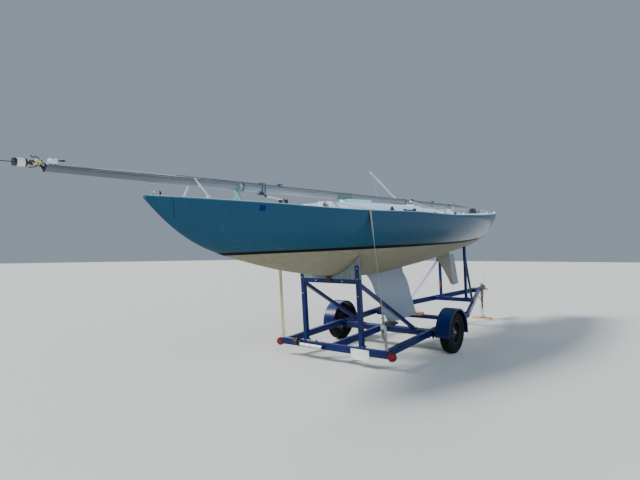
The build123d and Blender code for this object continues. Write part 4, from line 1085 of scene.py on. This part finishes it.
def spreader_gear(metal, steel, white):
    """End cap, bands, collar round the mast and the wires lying along to it."""
    cap = Piece("spreader_cap", white, "antenna_white")
    root = mast_point(SPREADER_A) + BOAT_UP * 0.030
    run = (SPREADER_TIP - root).normalized()
    flat = Matrix.Diagonal((1, 0.72, 1, 1))
    for back, profile in ((0.040, SPREADER_CAP), (0.285, SPREADER_BAND)):
        cap.turned(along(SPREADER_TIP - run * back, run, run.cross(UP)) @ flat, profile)
    cap.turned(along(root + run * 0.045, run, run.cross(UP)), SPREADER_ROOT)
    wires = Piece("spreader_wires", steel, "fitting_steel")
    wires.tube([SPREADER_TIP - run * 0.060 + PORT * 0.008, on_mast(4.606, 0.046, 0.005)], 0.0042)
    wires.tube([SPREADER_TIP - run * 0.012 - PORT * 0.006, on_mast(6.10, 0.044, -0.02)], 0.0022)
    collar = along(mast_point(SPREADER_A), MAST_RUN, MAST_UP)
    for z in (-0.030, 0.030):
        metal.tube(oval(moved(collar, z=z), 0.0515, 0.0405, 28), 0.004, closed=True)


# Distances aft of what is fitted along the mast
TANGS, MAST_CLEATS, BRACKET_HOOPS = (1.45, 3.10, 6.40, 7.60), (2.05, 6.95, 8.15), (1.682, 1.732)
TANG_RIVET = ((0, 0.005), (0.003, 0.0045), (0.0045, 0.002))
CLEAT_HORN = ((-0.058, 0.034), (-0.02, 0.026), (0.02, 0.026), (0.058, 0.034))
CLEAT_POST = ((0.004, 0.012), (0.018, 0.009), (0.028, 0.009))
HOOP_CORNERS = ((1, 0.9), (0.8, 1.05), (-0.8, 1.05), (-1, 0.9), (-1, -1.25), (1, -1.25))
ROD_ENDS = boat(1.77, -0.05, 0.750), boat(2.13, -0.05, 0.711)


def mast_fittings(metal, dark):
    """Tangs and cleats along the mast, a bracket round it, and two dark blocks."""
    for a in TANGS:
        plate = along(on_mast(a, 0.0, 0.039), -MAST_SIDE, MAST_RUN)
        metal.block(plate, (0.105, 0.030, 0.004), soft=0.001)
        for x in (-0.040, 0.0, 0.040):
            metal.turned(moved(plate, x, 0, 0.001), TANG_RIVET, 10)
    for a in MAST_CLEATS:
        foot = on_mast_frame(a, 0.049)
        dark.block(foot, (0.110, 0.020, 0.010), (0, 0, 0.004), 0.003)
        dark.tube(smooth_line([foot @ Vector((x, 0, z)) for x, z in CLEAT_HORN], 4), 0.0065)
        dark.turned(foot, CLEAT_POST, 12)
    blue = Piece("mast_bracket", plastic("bracket_blue", (0.045, 0.085, 0.17), 0.5), "frame_blue")
    for a in BRACKET_HOOPS:
        hoop = [mast_frame(a) @ Vector((0.044 * u, 0.066 * v, 0)) for u, v in HOOP_CORNERS]
        blue.tube(box_line(hoop, 4), 0.0062, closed=True)
    dark.block(on_mast_frame(1.707, -0.070), (0.052, 0.060, 0.034), soft=0.007)
    dark.block(on_mast_frame(5.960, 0.062), (0.060, 0.030, 0.030), soft=0.006)


def slung_rod(metal, dark, white):
    """A white rod with dark ends hung under the mast, and two thin posts between deck and mast."""
    fore, aft = ROD_ENDS
    rod = Piece("slung_rod", white, "antenna_white")
    rod.tube([fore.lerp(aft, t) for t in (0.06, 0.5, 0.94)], 0.0105, 12)
    for end, other in ((fore, aft), (aft, fore)):
        dark.tube([end.lerp(other, t) for t in (0.0, 0.021, 0.07)], [0.010, 0.0165, 0.0165], 12)
    for a, z in ((1.80, 0.746), (2.10, 0.714)):
        metal.tube([boat(a, -0.05, z), on_mast(a, -0.046)], 0.0025)
    for a, y, tree, radius, sides in ((2.92, -0.064, TOPS, 0.0075, 10), (1.39, -0.039, DECK, 0.003, 8)):
        metal.tube([on_deck(a, y, -0.004, tree), on_mast(a, -0.048)], radius, sides)


def mast_gear():
    steel = alloy("mast_steel", (0.58, 0.59, 0.60))
    white = plastic("fitting_white", (0.70, 0.71, 0.70), 0.35)
    metal = Piece("masthead_fittings", steel, "fitting_steel")
    dark = Piece("masthead_blocks", plastic("mast_black", (0.014, 0.014, 0.016), 0.4), "tyre_black")
    track = Piece("mast_track", alloy("track_alloy", (0.30, 0.31, 0.32), 0.75, DRAWN, BOAT), "mast_alloy")
    track.strap([on_mast(a, 0.0500) for a in (0.9, 2.5, 4.5, 6.5, 8.2)], MAST_SIDE, 0.016, 0.008)
    masthead(metal, dark)
    masthead_sensor(metal, dark)
    spreader_gear(metal, steel, white)
    mast_fittings(metal, dark)
    slung_rod(metal, dark, white)


MAST_HALF = Vector((0.040, 0.0505))     # half width and half height of the mast
HEAD_HALF = Vector((0.028, 0.035))      # the same near its tapered head
HEAD_ENDS_A = -0.3
LINE_GAP = 0.0016                       # between the mast and a line beside it
TIES_AT, SLEEVE_UP = (1.36, 5.6, 6.8, 7.7), 0.0605
WRAP_FROM, WRAP_STEP = 3.35, 0.065
COIL_AT, COIL_TURNS = (8.08, 0.30), 11


def halyards(chance, white, blue):
    """Ropes and wires laid along the mast, each at its own angle round it."""
    steel = alloy("wire_steel", (0.42, 0.43, 0.44))
    count = 34
    for name, finish, slot, turn, radius, first, last in (
            ("halyard_white", white, "antenna_white", 62, 0.0042, -0.45, 8.35),
            ("halyard_dark", blue, "antenna_white", 118, 0.0040, 0.4, 8.55),
            ("stay_wire_port", steel, "fitting_steel", 20, 0.0026, -0.5, 8.25),
            ("stay_wire_starboard", steel, "fitting_steel", 160, 0.0026, -0.5, 8.45)):
        path = []
        for k in range(count + 1):
            a = first + (last - first) * k / count
            half = (HEAD_HALF if a < HEAD_ENDS_A else MAST_HALF) * (1.0 + (radius + LINE_GAP) / 0.044)
            turned = math.radians(turn + chance.uniform(-3.5, 3.5))
            path.append(on_mast(a, half.y * math.sin(turned), half.x * math.cos(turned)))
        Piece(name, finish, slot).tube(smooth_line(path, 2), radius, 6)


def mast_ties(blue):
    """Thin ties round the mast and the lines that lie on it."""
    ties = Piece("mast_ties", blue, "antenna_white")
    for a in TIES_AT:
        for k in range(2):
            place = mast_frame(a + 0.008 * k)
            tie = []
            for t in circle(22):
                bulge = 1.19 if math.sin(t) > 0.25 else 1.045
                tie.append(place @ Vector((0.040 * bulge * math.cos(t), 0.0510 * bulge * math.sin(t), 0)))
            ties.tube(tie, 0.0022, 6, closed=True)


def rope_coil(chance, blue):
    """Spare rope coiled on the after deck."""
    coil = Piece("rope_coil", blue, "antenna_white")
    middle_a, middle_y = COIL_AT
    for k in range(COIL_TURNS):
        size = 0.155 - 0.020 * (k % 3) - 0.006 * k
        turn = []
        for t in circle(26):
            a = middle_a + size * 1.25 * math.cos(t) + chance.uniform(-0.003, 0.003)
            y = middle_y + size * 0.62 * math.sin(t)
            turn.append(on_deck(a, y, 0.006 + 0.0105 * k + chance.uniform(0, 0.006)))
        coil.tube(turn, 0.0055, 6, closed=True)


def running_rigging():
    chance = random.Random(7)
    white = woven("halyard_white", (0.68, 0.69, 0.68), 0.25, ROPE_THREAD)
    blue = woven("halyard_dark", (0.035, 0.045, 0.075), 0.2, ROPE_THREAD)
    halyards(chance, white, blue)
    sleeve = Piece("wire_sleeves", plastic("sleeve_mint", (0.50, 0.72, 0.68), 0.5), "foam_mint")
    for out, first, last in ((0.012, 7.30, 8.72), (-0.012, 7.05, 8.60)):
        sleeve.tube([on_mast(first + (last - first) * k / 8, SLEEVE_UP, out) for k in range(9)], 0.0070)
    mast_ties(blue)
    wrap = Piece("mast_wrap", plastic("wrap_green", (0.15, 0.215, 0.195), 0.6, 0.3), "foam_mint")
    wrap.rings([oval(mast_frame(WRAP_FROM + WRAP_STEP * k), 0.0424, 0.0535, 24) for k in range(7)])
    rope_coil(chance, blue)


def cuddy_gear():
    """Ventilator on the foredeck with a black sheet beside its mouth as painted shadow, trim along the
    cuddy's back and the fairlead.
    """
    # black plastic for the fairlead, and the colour of the vent's painted shadow
    black = plastic("fairlead_black_and_vent_shadow", (0.010, 0.011, 0.013), 0.35)
    vent = Piece("cuddy_vent", plastic("vent_white", (0.80, 0.81, 0.82), 0.35), "antenna_white")
    mouth = Piece("vent_mouth", plastic("vent_tan", (0.26, 0.20, 0.14), 0.5), "block_wood")
    # a black sheet beside the vent's mouth is painted shadow, not an opening
    shadow_sheet = Piece("vent_painted_shadow", black, "tyre_black")
    foot = along(on_deck(2.62, 0.265, -0.010, TOPS), BOAT_UP, Vector((-0.72, -0.69, 0)))
    vent.block(foot, (0.120, 0.190, 0.120), (0, 0, 0.050), 0.018)
    leaning = moved(foot, -0.0600, 0, 0.056) @ Matrix.Rotation(math.radians(-42), 4, "X")
    mouth.block(leaning, (0.004, 0.034, 0.092), (0, -0.014, 0))
    shadow_sheet.block(leaning, (0.004, 0.022, 0.072), (-0.0015, 0.012, 0))
    trim = Piece("cuddy_trim", alloy("trim_alloy", (0.55, 0.56, 0.57), 0.8), "fitting_steel")
    edge = [on_deck(5.115, 0.12 * k, 0.002, TOPS) for k in range(-3, 4)]
    trim.tube(smooth_line(edge, 3), 0.007)
    lead = Piece("fairlead", black, "tyre_black")
    foot = deck_frame(3.60, 0.76)
    lead.block(foot, (0.13, 0.040, 0.008), (0, 0, 0.004))
    outline = ((-0.055, 0.006), (0.055, 0.006), (0.012, 0.060), (-0.012, 0.060))
    lead.rings([[foot @ Vector((x, y, z)) for x, z in outline] for y in (-0.009, 0.009)])


# Wheels: each treaded tyre replaces the plain CAD tyre and turns with its wheel
TREAD_STEPS, TREAD_RIBS, TREAD_HALF = 144, 22, 0.0625
CROWN_DROP, GROOVE, SIPE = 0.0030, 0.0075, 0.0050
TREAD_BEND = 24             # degrees, as BEND_DEG
# Side wall of the tyre: radius, distance from its middle
WALL = ((0.1905, 0.076), (0.194, 0.0795), (0.200, 0.0815), (0.2035, 0.0850), (0.2060, 0.0850),
        (0.2085, 0.0830), (0.222, 0.0875), (0.240, 0.0915), (0.2420, 0.0924), (0.2445, 0.0924),
        (0.2465, 0.0918), (0.262, 0.0920), (0.276, 0.0905), (0.2775, 0.0915), (0.2805, 0.0910),
        (0.2820, 0.0893), (0.296, 0.0865), (0.312, 0.0790), (0.322, 0.0710))
DUST_CAP = ((0.038, 0.0415), (0.042, 0.0425), (0.045, 0.0405), (0.047, 0.0335), (0.058, 0.0315),
            (0.064, 0.027), (0.067, 0.018), (0.068, 0.006))
VALVE = ((0.150, -0.008), (0.151, 0.010), (0.149, 0.030))       # distances from the hub and from its face
VALVE_TURN = 2.2
NUT_CIRCLE = 0.057


def hub_of(way):
    return Vector((WHEEL.x, WHEEL.y * way, WHEEL.z))


def tyre(side, way):
    """Ribbed side walls and a tread with round grooves and short cuts."""
    hub = hub_of(way)
    rings = []
    for k, t in enumerate(circle(TREAD_STEPS)):
        section = list(WALL)
        for i in range(TREAD_RIBS + 1):
            share = 1 - 2 * i / TREAD_RIBS
            cut = (k + (i // 5) * 2) % 4 == 0
            depth = GROOVE if i % 5 == 3 else SIPE if cut else 0.0
            section.append((WHEEL_R - CROWN_DROP * share**2 - depth, TREAD_HALF * share))
        section += [(r, -y) for r, y in reversed(WALL)]
        rings.append([hub + Vector((r * math.sin(t), y, r * math.cos(t))) for r, y in section])
    piece = Piece("treaded_tyre_" + side, tyre_rubber(), "tyre_black", "wheel_" + side)
    piece.rings(rings, closed=True)
    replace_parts(piece.done(TREAD_BEND), "tyre_" + side)


def wheel_fittings(side, way):
    """Wheel nuts, valve and dust cap."""
    face = along(hub_of(way), PORT * way, UP)
    steel = rusty_steel("nut_steel_" + side, (0.30, 0.29, 0.29), 0.58, None)
    nuts = Piece("wheel_nuts_" + side, steel, "fitting_steel", "wheel_" + side)
    for k in range(5):
        t = 2 * math.pi * (k + 0.25) / 5
        nuts.nut(moved(face, NUT_CIRCLE * math.cos(t), NUT_CIRCLE * math.sin(t), 0.0055), 0.021, 0.016)
    stem = [face @ Vector((r * math.cos(VALVE_TURN), r * math.sin(VALVE_TURN), z)) for r, z in VALVE]
    nuts.tube(stem, [0.006, 0.0045, 0.0045], 10)
    zinc = alloy("cap_zinc_" + side, (0.20, 0.21, 0.23), 0.7)
    Piece("dust_cap_" + side, zinc, "fitting_steel", "wheel_" + side).turned(face, DUST_CAP, 28)


# Trailer: plates as place, size and edge radius, welds as their two ends, all for the port side
PLATES = (((1.765, POST_Y, BEAM_TOP + 0.005), (0.108, 0.118, 0.010), 0.0015),
          ((*STERN_POST, 0.090), (0.095, 0.095, 0.010), 0.0015),
          ((0.165, POST_Y, 0.046), (0.130, 0.090, 0.010), 0.0015),
          ((-1.25, RAIL_Y, BEAM_TOP + 0.003), (0.20, 0.068, 0.006), 0.0015),
          ((1.79, 0.9635, 0.045), (0.052, 0.004, 0.092), 0.001))
RAIL_INNER = RAIL_Y - 0.031
WELDS = (((1.782, 0.476, 0.999), (1.782, 0.476, 1.061)),
         ((1.761, RAIL_INNER, BEAM_TOP - 0.001), (1.761, 0.934, BEAM_TOP - 0.001)),
         ((0.242, RAIL_INNER, 0.041), (0.088, RAIL_INNER, 0.041)),
         ((-0.93, RAIL_INNER, 0.031), (-1.04, RAIL_INNER, 0.031)),
         ((-2.745, 0.262, 0.096), (-2.745, 0.318, 0.096)))
POST_X, POST_WELD, POST_HALF = 1.752, 0.033, 0.030
BEAD_STEP = 0.006


def frame_plates():
    """Base flanges, cleats and end caps in the frame's blue."""
    plates = Piece("frame_plates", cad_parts["rear_beam"].data.materials[0], "frame_blue")
    for _, way in SIDES:
        for (x, y, z), size, soft in PLATES:
            plates.block(lying(x, way * y, z), size, soft=soft)
    plates.block(lying(-4.09, 0, BEAM_TOP + 0.003), (0.26, 0.19, 0.006), soft=0.0015)


def weld_beads():
    """Uneven beads round the feet of the cradle posts and at the frame's joints."""
    weld = Piece("weld_beads", rusty_steel("weld_steel", (0.022, 0.045, 0.16)), "frame_blue")
    chance = random.Random(3)

    def bead(p, q):
        count = max(4, int((q - p).length / BEAD_STEP))
        radii = [0.0036 + 0.0008 * chance.random() + 0.0006 * (k % 2) for k in range(count + 1)]
        weld.tube([p.lerp(q, k / count) for k in range(count + 1)], radii, 6)

    for _, way in SIDES:
        for dx, dy in ((1, 0), (-1, 0), (0, 1), (0, -1)):
            x, y = POST_X + POST_WELD * dx, way * POST_Y + POST_WELD * dy
            u, v = POST_HALF * abs(dy), POST_HALF * abs(dx)
            bead(rig(x - u, y - v, BEAM_TOP + 0.011), rig(x + u, y + v, BEAM_TOP + 0.011))
        for p, q in WELDS:
            bead(*[rig(x, way * y, z) for x, y, z in (p, q)])
    bead(rig(1.761, -0.025, BEAM_TOP - 0.001), rig(1.761, 0.025, BEAM_TOP - 0.001))


UNDERSIDE = Matrix.Rotation(math.pi, 4, "X")


def frame_bolts(zinc):
    bolts = Piece("frame_bolts", zinc, "fitting_steel")
    for y in (0.243, -0.243):
        bolts.nut(facing_aft(1.782, y, 1.030), 0.019, 0.010)
    for way in (1, -1):
        for z in (1.225, 1.072, 0.826):
            bolts.nut(facing_aft(1.784, way * POST_Y, z), 0.017, 0.009)
        for x in (1.722, 1.808):
            for y in (0.462, 0.556):
                bolts.nut(lying(x, way * y, BEAM_TOP + 0.010), 0.015, 0.008)
        for x in (-0.10, 0.10):
            for y in (0.868, 0.938):
                bolts.nut(lying(x, way * y, -0.044) @ UNDERSIDE, 0.015, 0.010)
    for y in (0.385, 0.645):
        for z in (0.063, -0.060):
            bolts.nut(facing_aft(1.826, y, z), 0.010, 0.004)


ROLLER = ((-0.042, 0.022), (-0.042, 0.056), (-0.034, 0.061), (-0.012, 0.052), (0.012, 0.052), (0.034, 0.061),
          (0.042, 0.056), (0.042, 0.022))
ROLLER_PIN = ((-0.058, 0.008), (-0.056, 0.011), (0.056, 0.011), (0.058, 0.008))
PIPE_ENDS = rig(1.848, -0.575, 0.040), rig(1.848, -0.125, 0.034)


def rear_roller(zinc, black):
    """Roller carried on the rear beam, with its bracket."""
    turn = lying(1.845, -0.640, 0.070) @ Matrix.Rotation(QUARTER, 4, "X")
    Piece("rear_roller", black, "tyre_black").turned(turn, ROLLER, 28)
    bracket = Piece("roller_bracket", zinc, "fitting_steel")
    for y in (-0.689, -0.591):
        bracket.block(lying(1.832, y, 0.060), (0.060, 0.005, 0.060), soft=0.0015)
    bracket.turned(turn, ROLLER_PIN, 14)


def conduit(zinc, black):
    """White pipe along the beam, with clamps and black end plugs."""
    start, stop = PIPE_ENDS
    white = plastic("tube_white", (0.88, 0.88, 0.86), 0.35, 0.1)
    pipe = Piece("conduit", white, "antenna_white")
    pipe.tube([start.lerp(stop, t) for t in (0.02, 0.5, 0.98)], 0.0245, 16)
    plugs = Piece("conduit_plugs", black, "tyre_black")
    for a, b in ((0.0, 0.03), (1.0, 0.955)):
        plugs.tube([start.lerp(stop, a), start.lerp(stop, b)], 0.0262, 16)
    clamps = Piece("conduit_clamps", zinc, "fitting_steel")
    for t in (0.22, 0.48, 0.80):
        at = along(start.lerp(stop, t), stop - start, AHEAD)
        clamps.tube(oval(at, 0.0265, 0.0265, 20), 0.0025, closed=True)
    for y in (-0.42, -0.30):
        clamps.block(lying(1.800, y, BEAM_TOP + 0.012), (0.052, 0.034, 0.024), soft=0.003)
    clamps.block(lying(1.800, -0.36, BEAM_TOP + 0.008), (0.040, 0.16, 0.014), soft=0.003)


def trailer_hardware():
    zinc = rusty_steel("zinc_bolts", (0.30, 0.31, 0.34), 0.66)
    black = plastic("rubber_black", (0.013, 0.013, 0.014), 0.6)
    frame_bolts(zinc)
    rear_roller(zinc, black)
    conduit(zinc, black)
    stained = wood("chock_wood", (0.052, 0.034, 0.026), (0.022, 0.015, 0.012), GRAIN_UP, (0.7, 0.9))
    chock = Piece("centre_chock", stained, "block_wood")
    chock.block(lying(1.800, 0.010, 1.062), (0.036, 0.066, 0.080), soft=0.005)


BEZEL = ((-0.026, 0.030), (-0.022, 0.0615), (-0.004, 0.0630), (0.002, 0.0628), (0.002, 0.0560),
         (-0.010, 0.0540))
LAMP_WIRE = ((1.776, 1.010, 0.030), (1.755, 0.990, 0.012), (1.752, 0.950, 0.020), (1.755, 0.935, 0.088))


def lamp_trim(side, way):
    """Black bezel and the wire to the lamp."""
    black = plastic("lamp_black_" + side, (0.012, 0.012, 0.014))
    face = facing_aft(1.800, way * 1.022, 0.025)
    Piece("lamp_bezel_" + side, black, "tyre_black").turned(face, BEZEL, 32)
    wire = Piece("lamp_wire_" + side, black, "tyre_black")
    wire.tube(smooth_line([rig(x, way * y, z) for x, y, z in LAMP_WIRE], 6), 0.0035)


PLATE_MIDDLE, PLATE_HALF, PLATE_ROUND = (1.8262, 0.515, 0.001), (0.146, 0.071), 0.014


def plate_trim():
    """A raised border round the blank plate."""
    border = Piece("plate_border", plastic("border_white", (0.78, 0.79, 0.81), 0.3, 0.2), "plate_white")
    x, y, z = PLATE_MIDDLE
    path = []
    for u, v, start in ((1, 1, 0), (-1, 1, 90), (-1, -1, 180), (1, -1, 270)):
        for k in range(5):
            t = math.radians(start + 22.5 * k)
            out = u * (PLATE_HALF[0] - PLATE_ROUND) + PLATE_ROUND * math.cos(t)
            up = v * (PLATE_HALF[1] - PLATE_ROUND) + PLATE_ROUND * math.sin(t)
            path.append(rig(x, y + out, z + up))
    border.tube(path, 0.0016, 6, closed=True)


JACK_CAP = ((-0.034, 0.0315), (-0.030, 0.0335), (-0.004, 0.0335), (0.004, 0.030), (0.010, 0.020),
            (0.012, 0.006))
CRANK_GRIP = ((0.010, 0.0125), (0.012, 0.0150), (0.050, 0.0165), (0.092, 0.0150), (0.100, 0.0125),
              (0.107, 0.0122))
CHAIN = ((-4.14, 0.046, 0.0), (-4.16, 0.060, -0.10), (-4.24, 0.066, -0.185), (-4.36, 0.066, -0.200),
         (-4.48, 0.062, -0.130), (-4.56, 0.046, 0.0))
LINK_STEP, LINK_HALF, LINK_R = 0.030, 0.009, 0.0095


def jack_trim():
    """Cap and two pairs of collars on the jack's tube, and the crank's grip."""
    cap = Piece("jack_cap", rusty_steel("jack_zinc", (0.46, 0.47, 0.47), 0.66), "axle_steel")
    cap.turned(lying(JACK_X, JACK_Y, 0.190), JACK_CAP, 28)
    for z in (-0.106, -0.094, -0.306, -0.294):
        cap.tube(oval(lying(JACK_X, JACK_Y, z), 0.0300, 0.0300, 28), 0.0035, closed=True)
    grip = Piece("crank_grip", plastic("grip_black", (0.02, 0.02, 0.02), 0.6), "tyre_black")
    grip.turned(sideways(RIG, JACK_X, 0.126, 0.054), CRANK_GRIP)


def safety_chain():
    """Chain hanging from the tongue, hooked back on itself."""
    chain = Piece("safety_chain", rusty_steel("chain_rust", (0.20, 0.17, 0.15), 0.45), "axle_steel")
    path = smooth_line([rig(*p) for p in CHAIN], 12)
    links, walked = [], 0.0
    for a, b in zip(path, path[1:]):
        run = (b - a).normalized()
        while walked <= (b - a).length:
            links.append((a + run * walked, run))
            walked += LINK_STEP
        walked -= (b - a).length
    for k, (at, run) in enumerate(links):
        place = along(at, run, PORT if k % 2 else AHEAD.cross(run) + UP * 0.3)
        link = []
        for t in circle(14):
            stretch = LINK_HALF if math.sin(t) > 0 else -LINK_HALF
            link.append(place @ Vector((LINK_R * math.cos(t), 0, LINK_R * math.sin(t) + stretch)))
        chain.tube(link, 0.0036, 6, closed=True)


def jack_line():
    """White line wound round the foot of the jack's leg, with its hank beside it."""
    white = woven("jack_line_white", (0.80, 0.79, 0.76), 0.15, ROPE_THREAD)
    hank = Piece("jack_line", white, "antenna_white", "jack")
    low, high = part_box("jack_leg")
    foot = (low + high) / 2
    foot.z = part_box("foot_plank")[1].z
    hanging = sideways(Matrix.Translation(foot), 0.078, 0.030, 0.118)
    for k in range(5):
        wide, high = 0.016 + 0.005 * k, -0.082 - 0.006 * k
        turn = oval(hanging, wide, high, 24, lambda t: 0.006 * math.sin(2 * t + k))
        hank.tube(turn, 0.0050, 6, closed=True)
    for z in (0.050, 0.062):
        around = Matrix.Translation(foot + Vector((0.036, 0.014, z)))
        hank.tube(oval(around, 0.066, 0.040, 24), 0.0045, 6, closed=True)


WIRE_X = (1.72, 1.35, 0.95, 0.55, 0.28)
BOX_CORNERS = ((1, 1), (-1, 1), (-1, -1), (1, -1))


def trailer_wire():
    """Wire along the port rail, with ties round the rail."""
    wire = Piece("trailer_wire", plastic("wire_black", (0.012, 0.012, 0.013), 0.5), "tyre_black")
    run = [rig(x, 0.866, 0.060 - 0.008 * (k % 2)) for k, x in enumerate(WIRE_X)]
    wire.tube(smooth_line(run, 6), 0.004)
    ties = Piece("wire_ties", plastic("tie_white", (0.035, 0.045, 0.080), 0.5), "antenna_white")
    for x in WIRE_X[1:-1]:
        corners = [rig(x, RAIL_Y + u * 0.0335, 0.045 + v * 0.0535) for u, v in BOX_CORNERS]
        ties.tube(box_line(corners, 4), 0.0022, 6, closed=True)


# U-bolt round the axle and spring: distance from the axle, height
U_BOLT = ((-0.0375, -0.020), (-0.0375, -0.095), (-0.020, -0.112), (0.020, -0.112), (0.0375, -0.095),
          (0.0375, -0.020))


def axle_hardware():
    """U-bolts, spring hangers with their bolts, and the fenders' bolts."""
    piece = Piece("axle_hardware", rusty_steel("bolt_steel", (0.10, 0.10, 0.11), 0.50), "axle_steel")
    for _, way in SIDES:
        y = way * RAIL_Y
        for dy in (-0.038, 0.038):
            piece.tube(smooth_line([rig(x, y + dy, z) for x, z in U_BOLT], 4), 0.0055)
        for x in (-0.33, 0.33):
            for dy in (-0.0345, 0.0345):
                piece.block(lying(x, y + dy, -0.022), (0.052, 0.006, 0.070))
            outward = lying(x, y + way * 0.0375, -0.030) @ Matrix.Rotation(-way * QUARTER, 4, "X")
            piece.nut(outward, 0.019, 0.012)
        for x in (-0.352, 0.352):
            piece.nut(lying(x, way * 0.975, 0.093), 0.016, 0.009)


FENDER_Y, FENDER_HALF, FENDER_R = 1.1175, 0.113, 0.3660


def fender_lips():
    """Rolled wire edge round each fender's open sides."""
    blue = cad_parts["rear_beam"].data.materials[0]
    arc = [math.radians(-7 + 194 * k / 48) for k in range(49)]
    for side, way in SIDES:
        lip = Piece("fender_lip_" + side, blue, "frame_blue")
        for y in (way * FENDER_Y + FENDER_HALF, way * FENDER_Y - FENDER_HALF):
            lip.tube([rig(FENDER_R * math.cos(t), y, FENDER_R * math.sin(t)) for t in arc], 0.0048)


make_camera()
make_studio()
dress_nodes()
toe_rail()
deck_fittings()
cuddy_gear()
mast_gear()
running_rigging()
mast_lashing()
hold_down_strap()
stern_line()
keel_strap()
for SIDE, WAY in SIDES:
    tyre(SIDE, WAY)
    wheel_fittings(SIDE, WAY)
    lamp_trim(SIDE, WAY)
frame_plates()
weld_beads()
trailer_hardware()
plate_trim()
axle_hardware()
fender_lips()
jack_trim()
safety_chain()
jack_line()
trailer_wire()
for PIECE in list(Piece.waiting):
    PIECE.done()
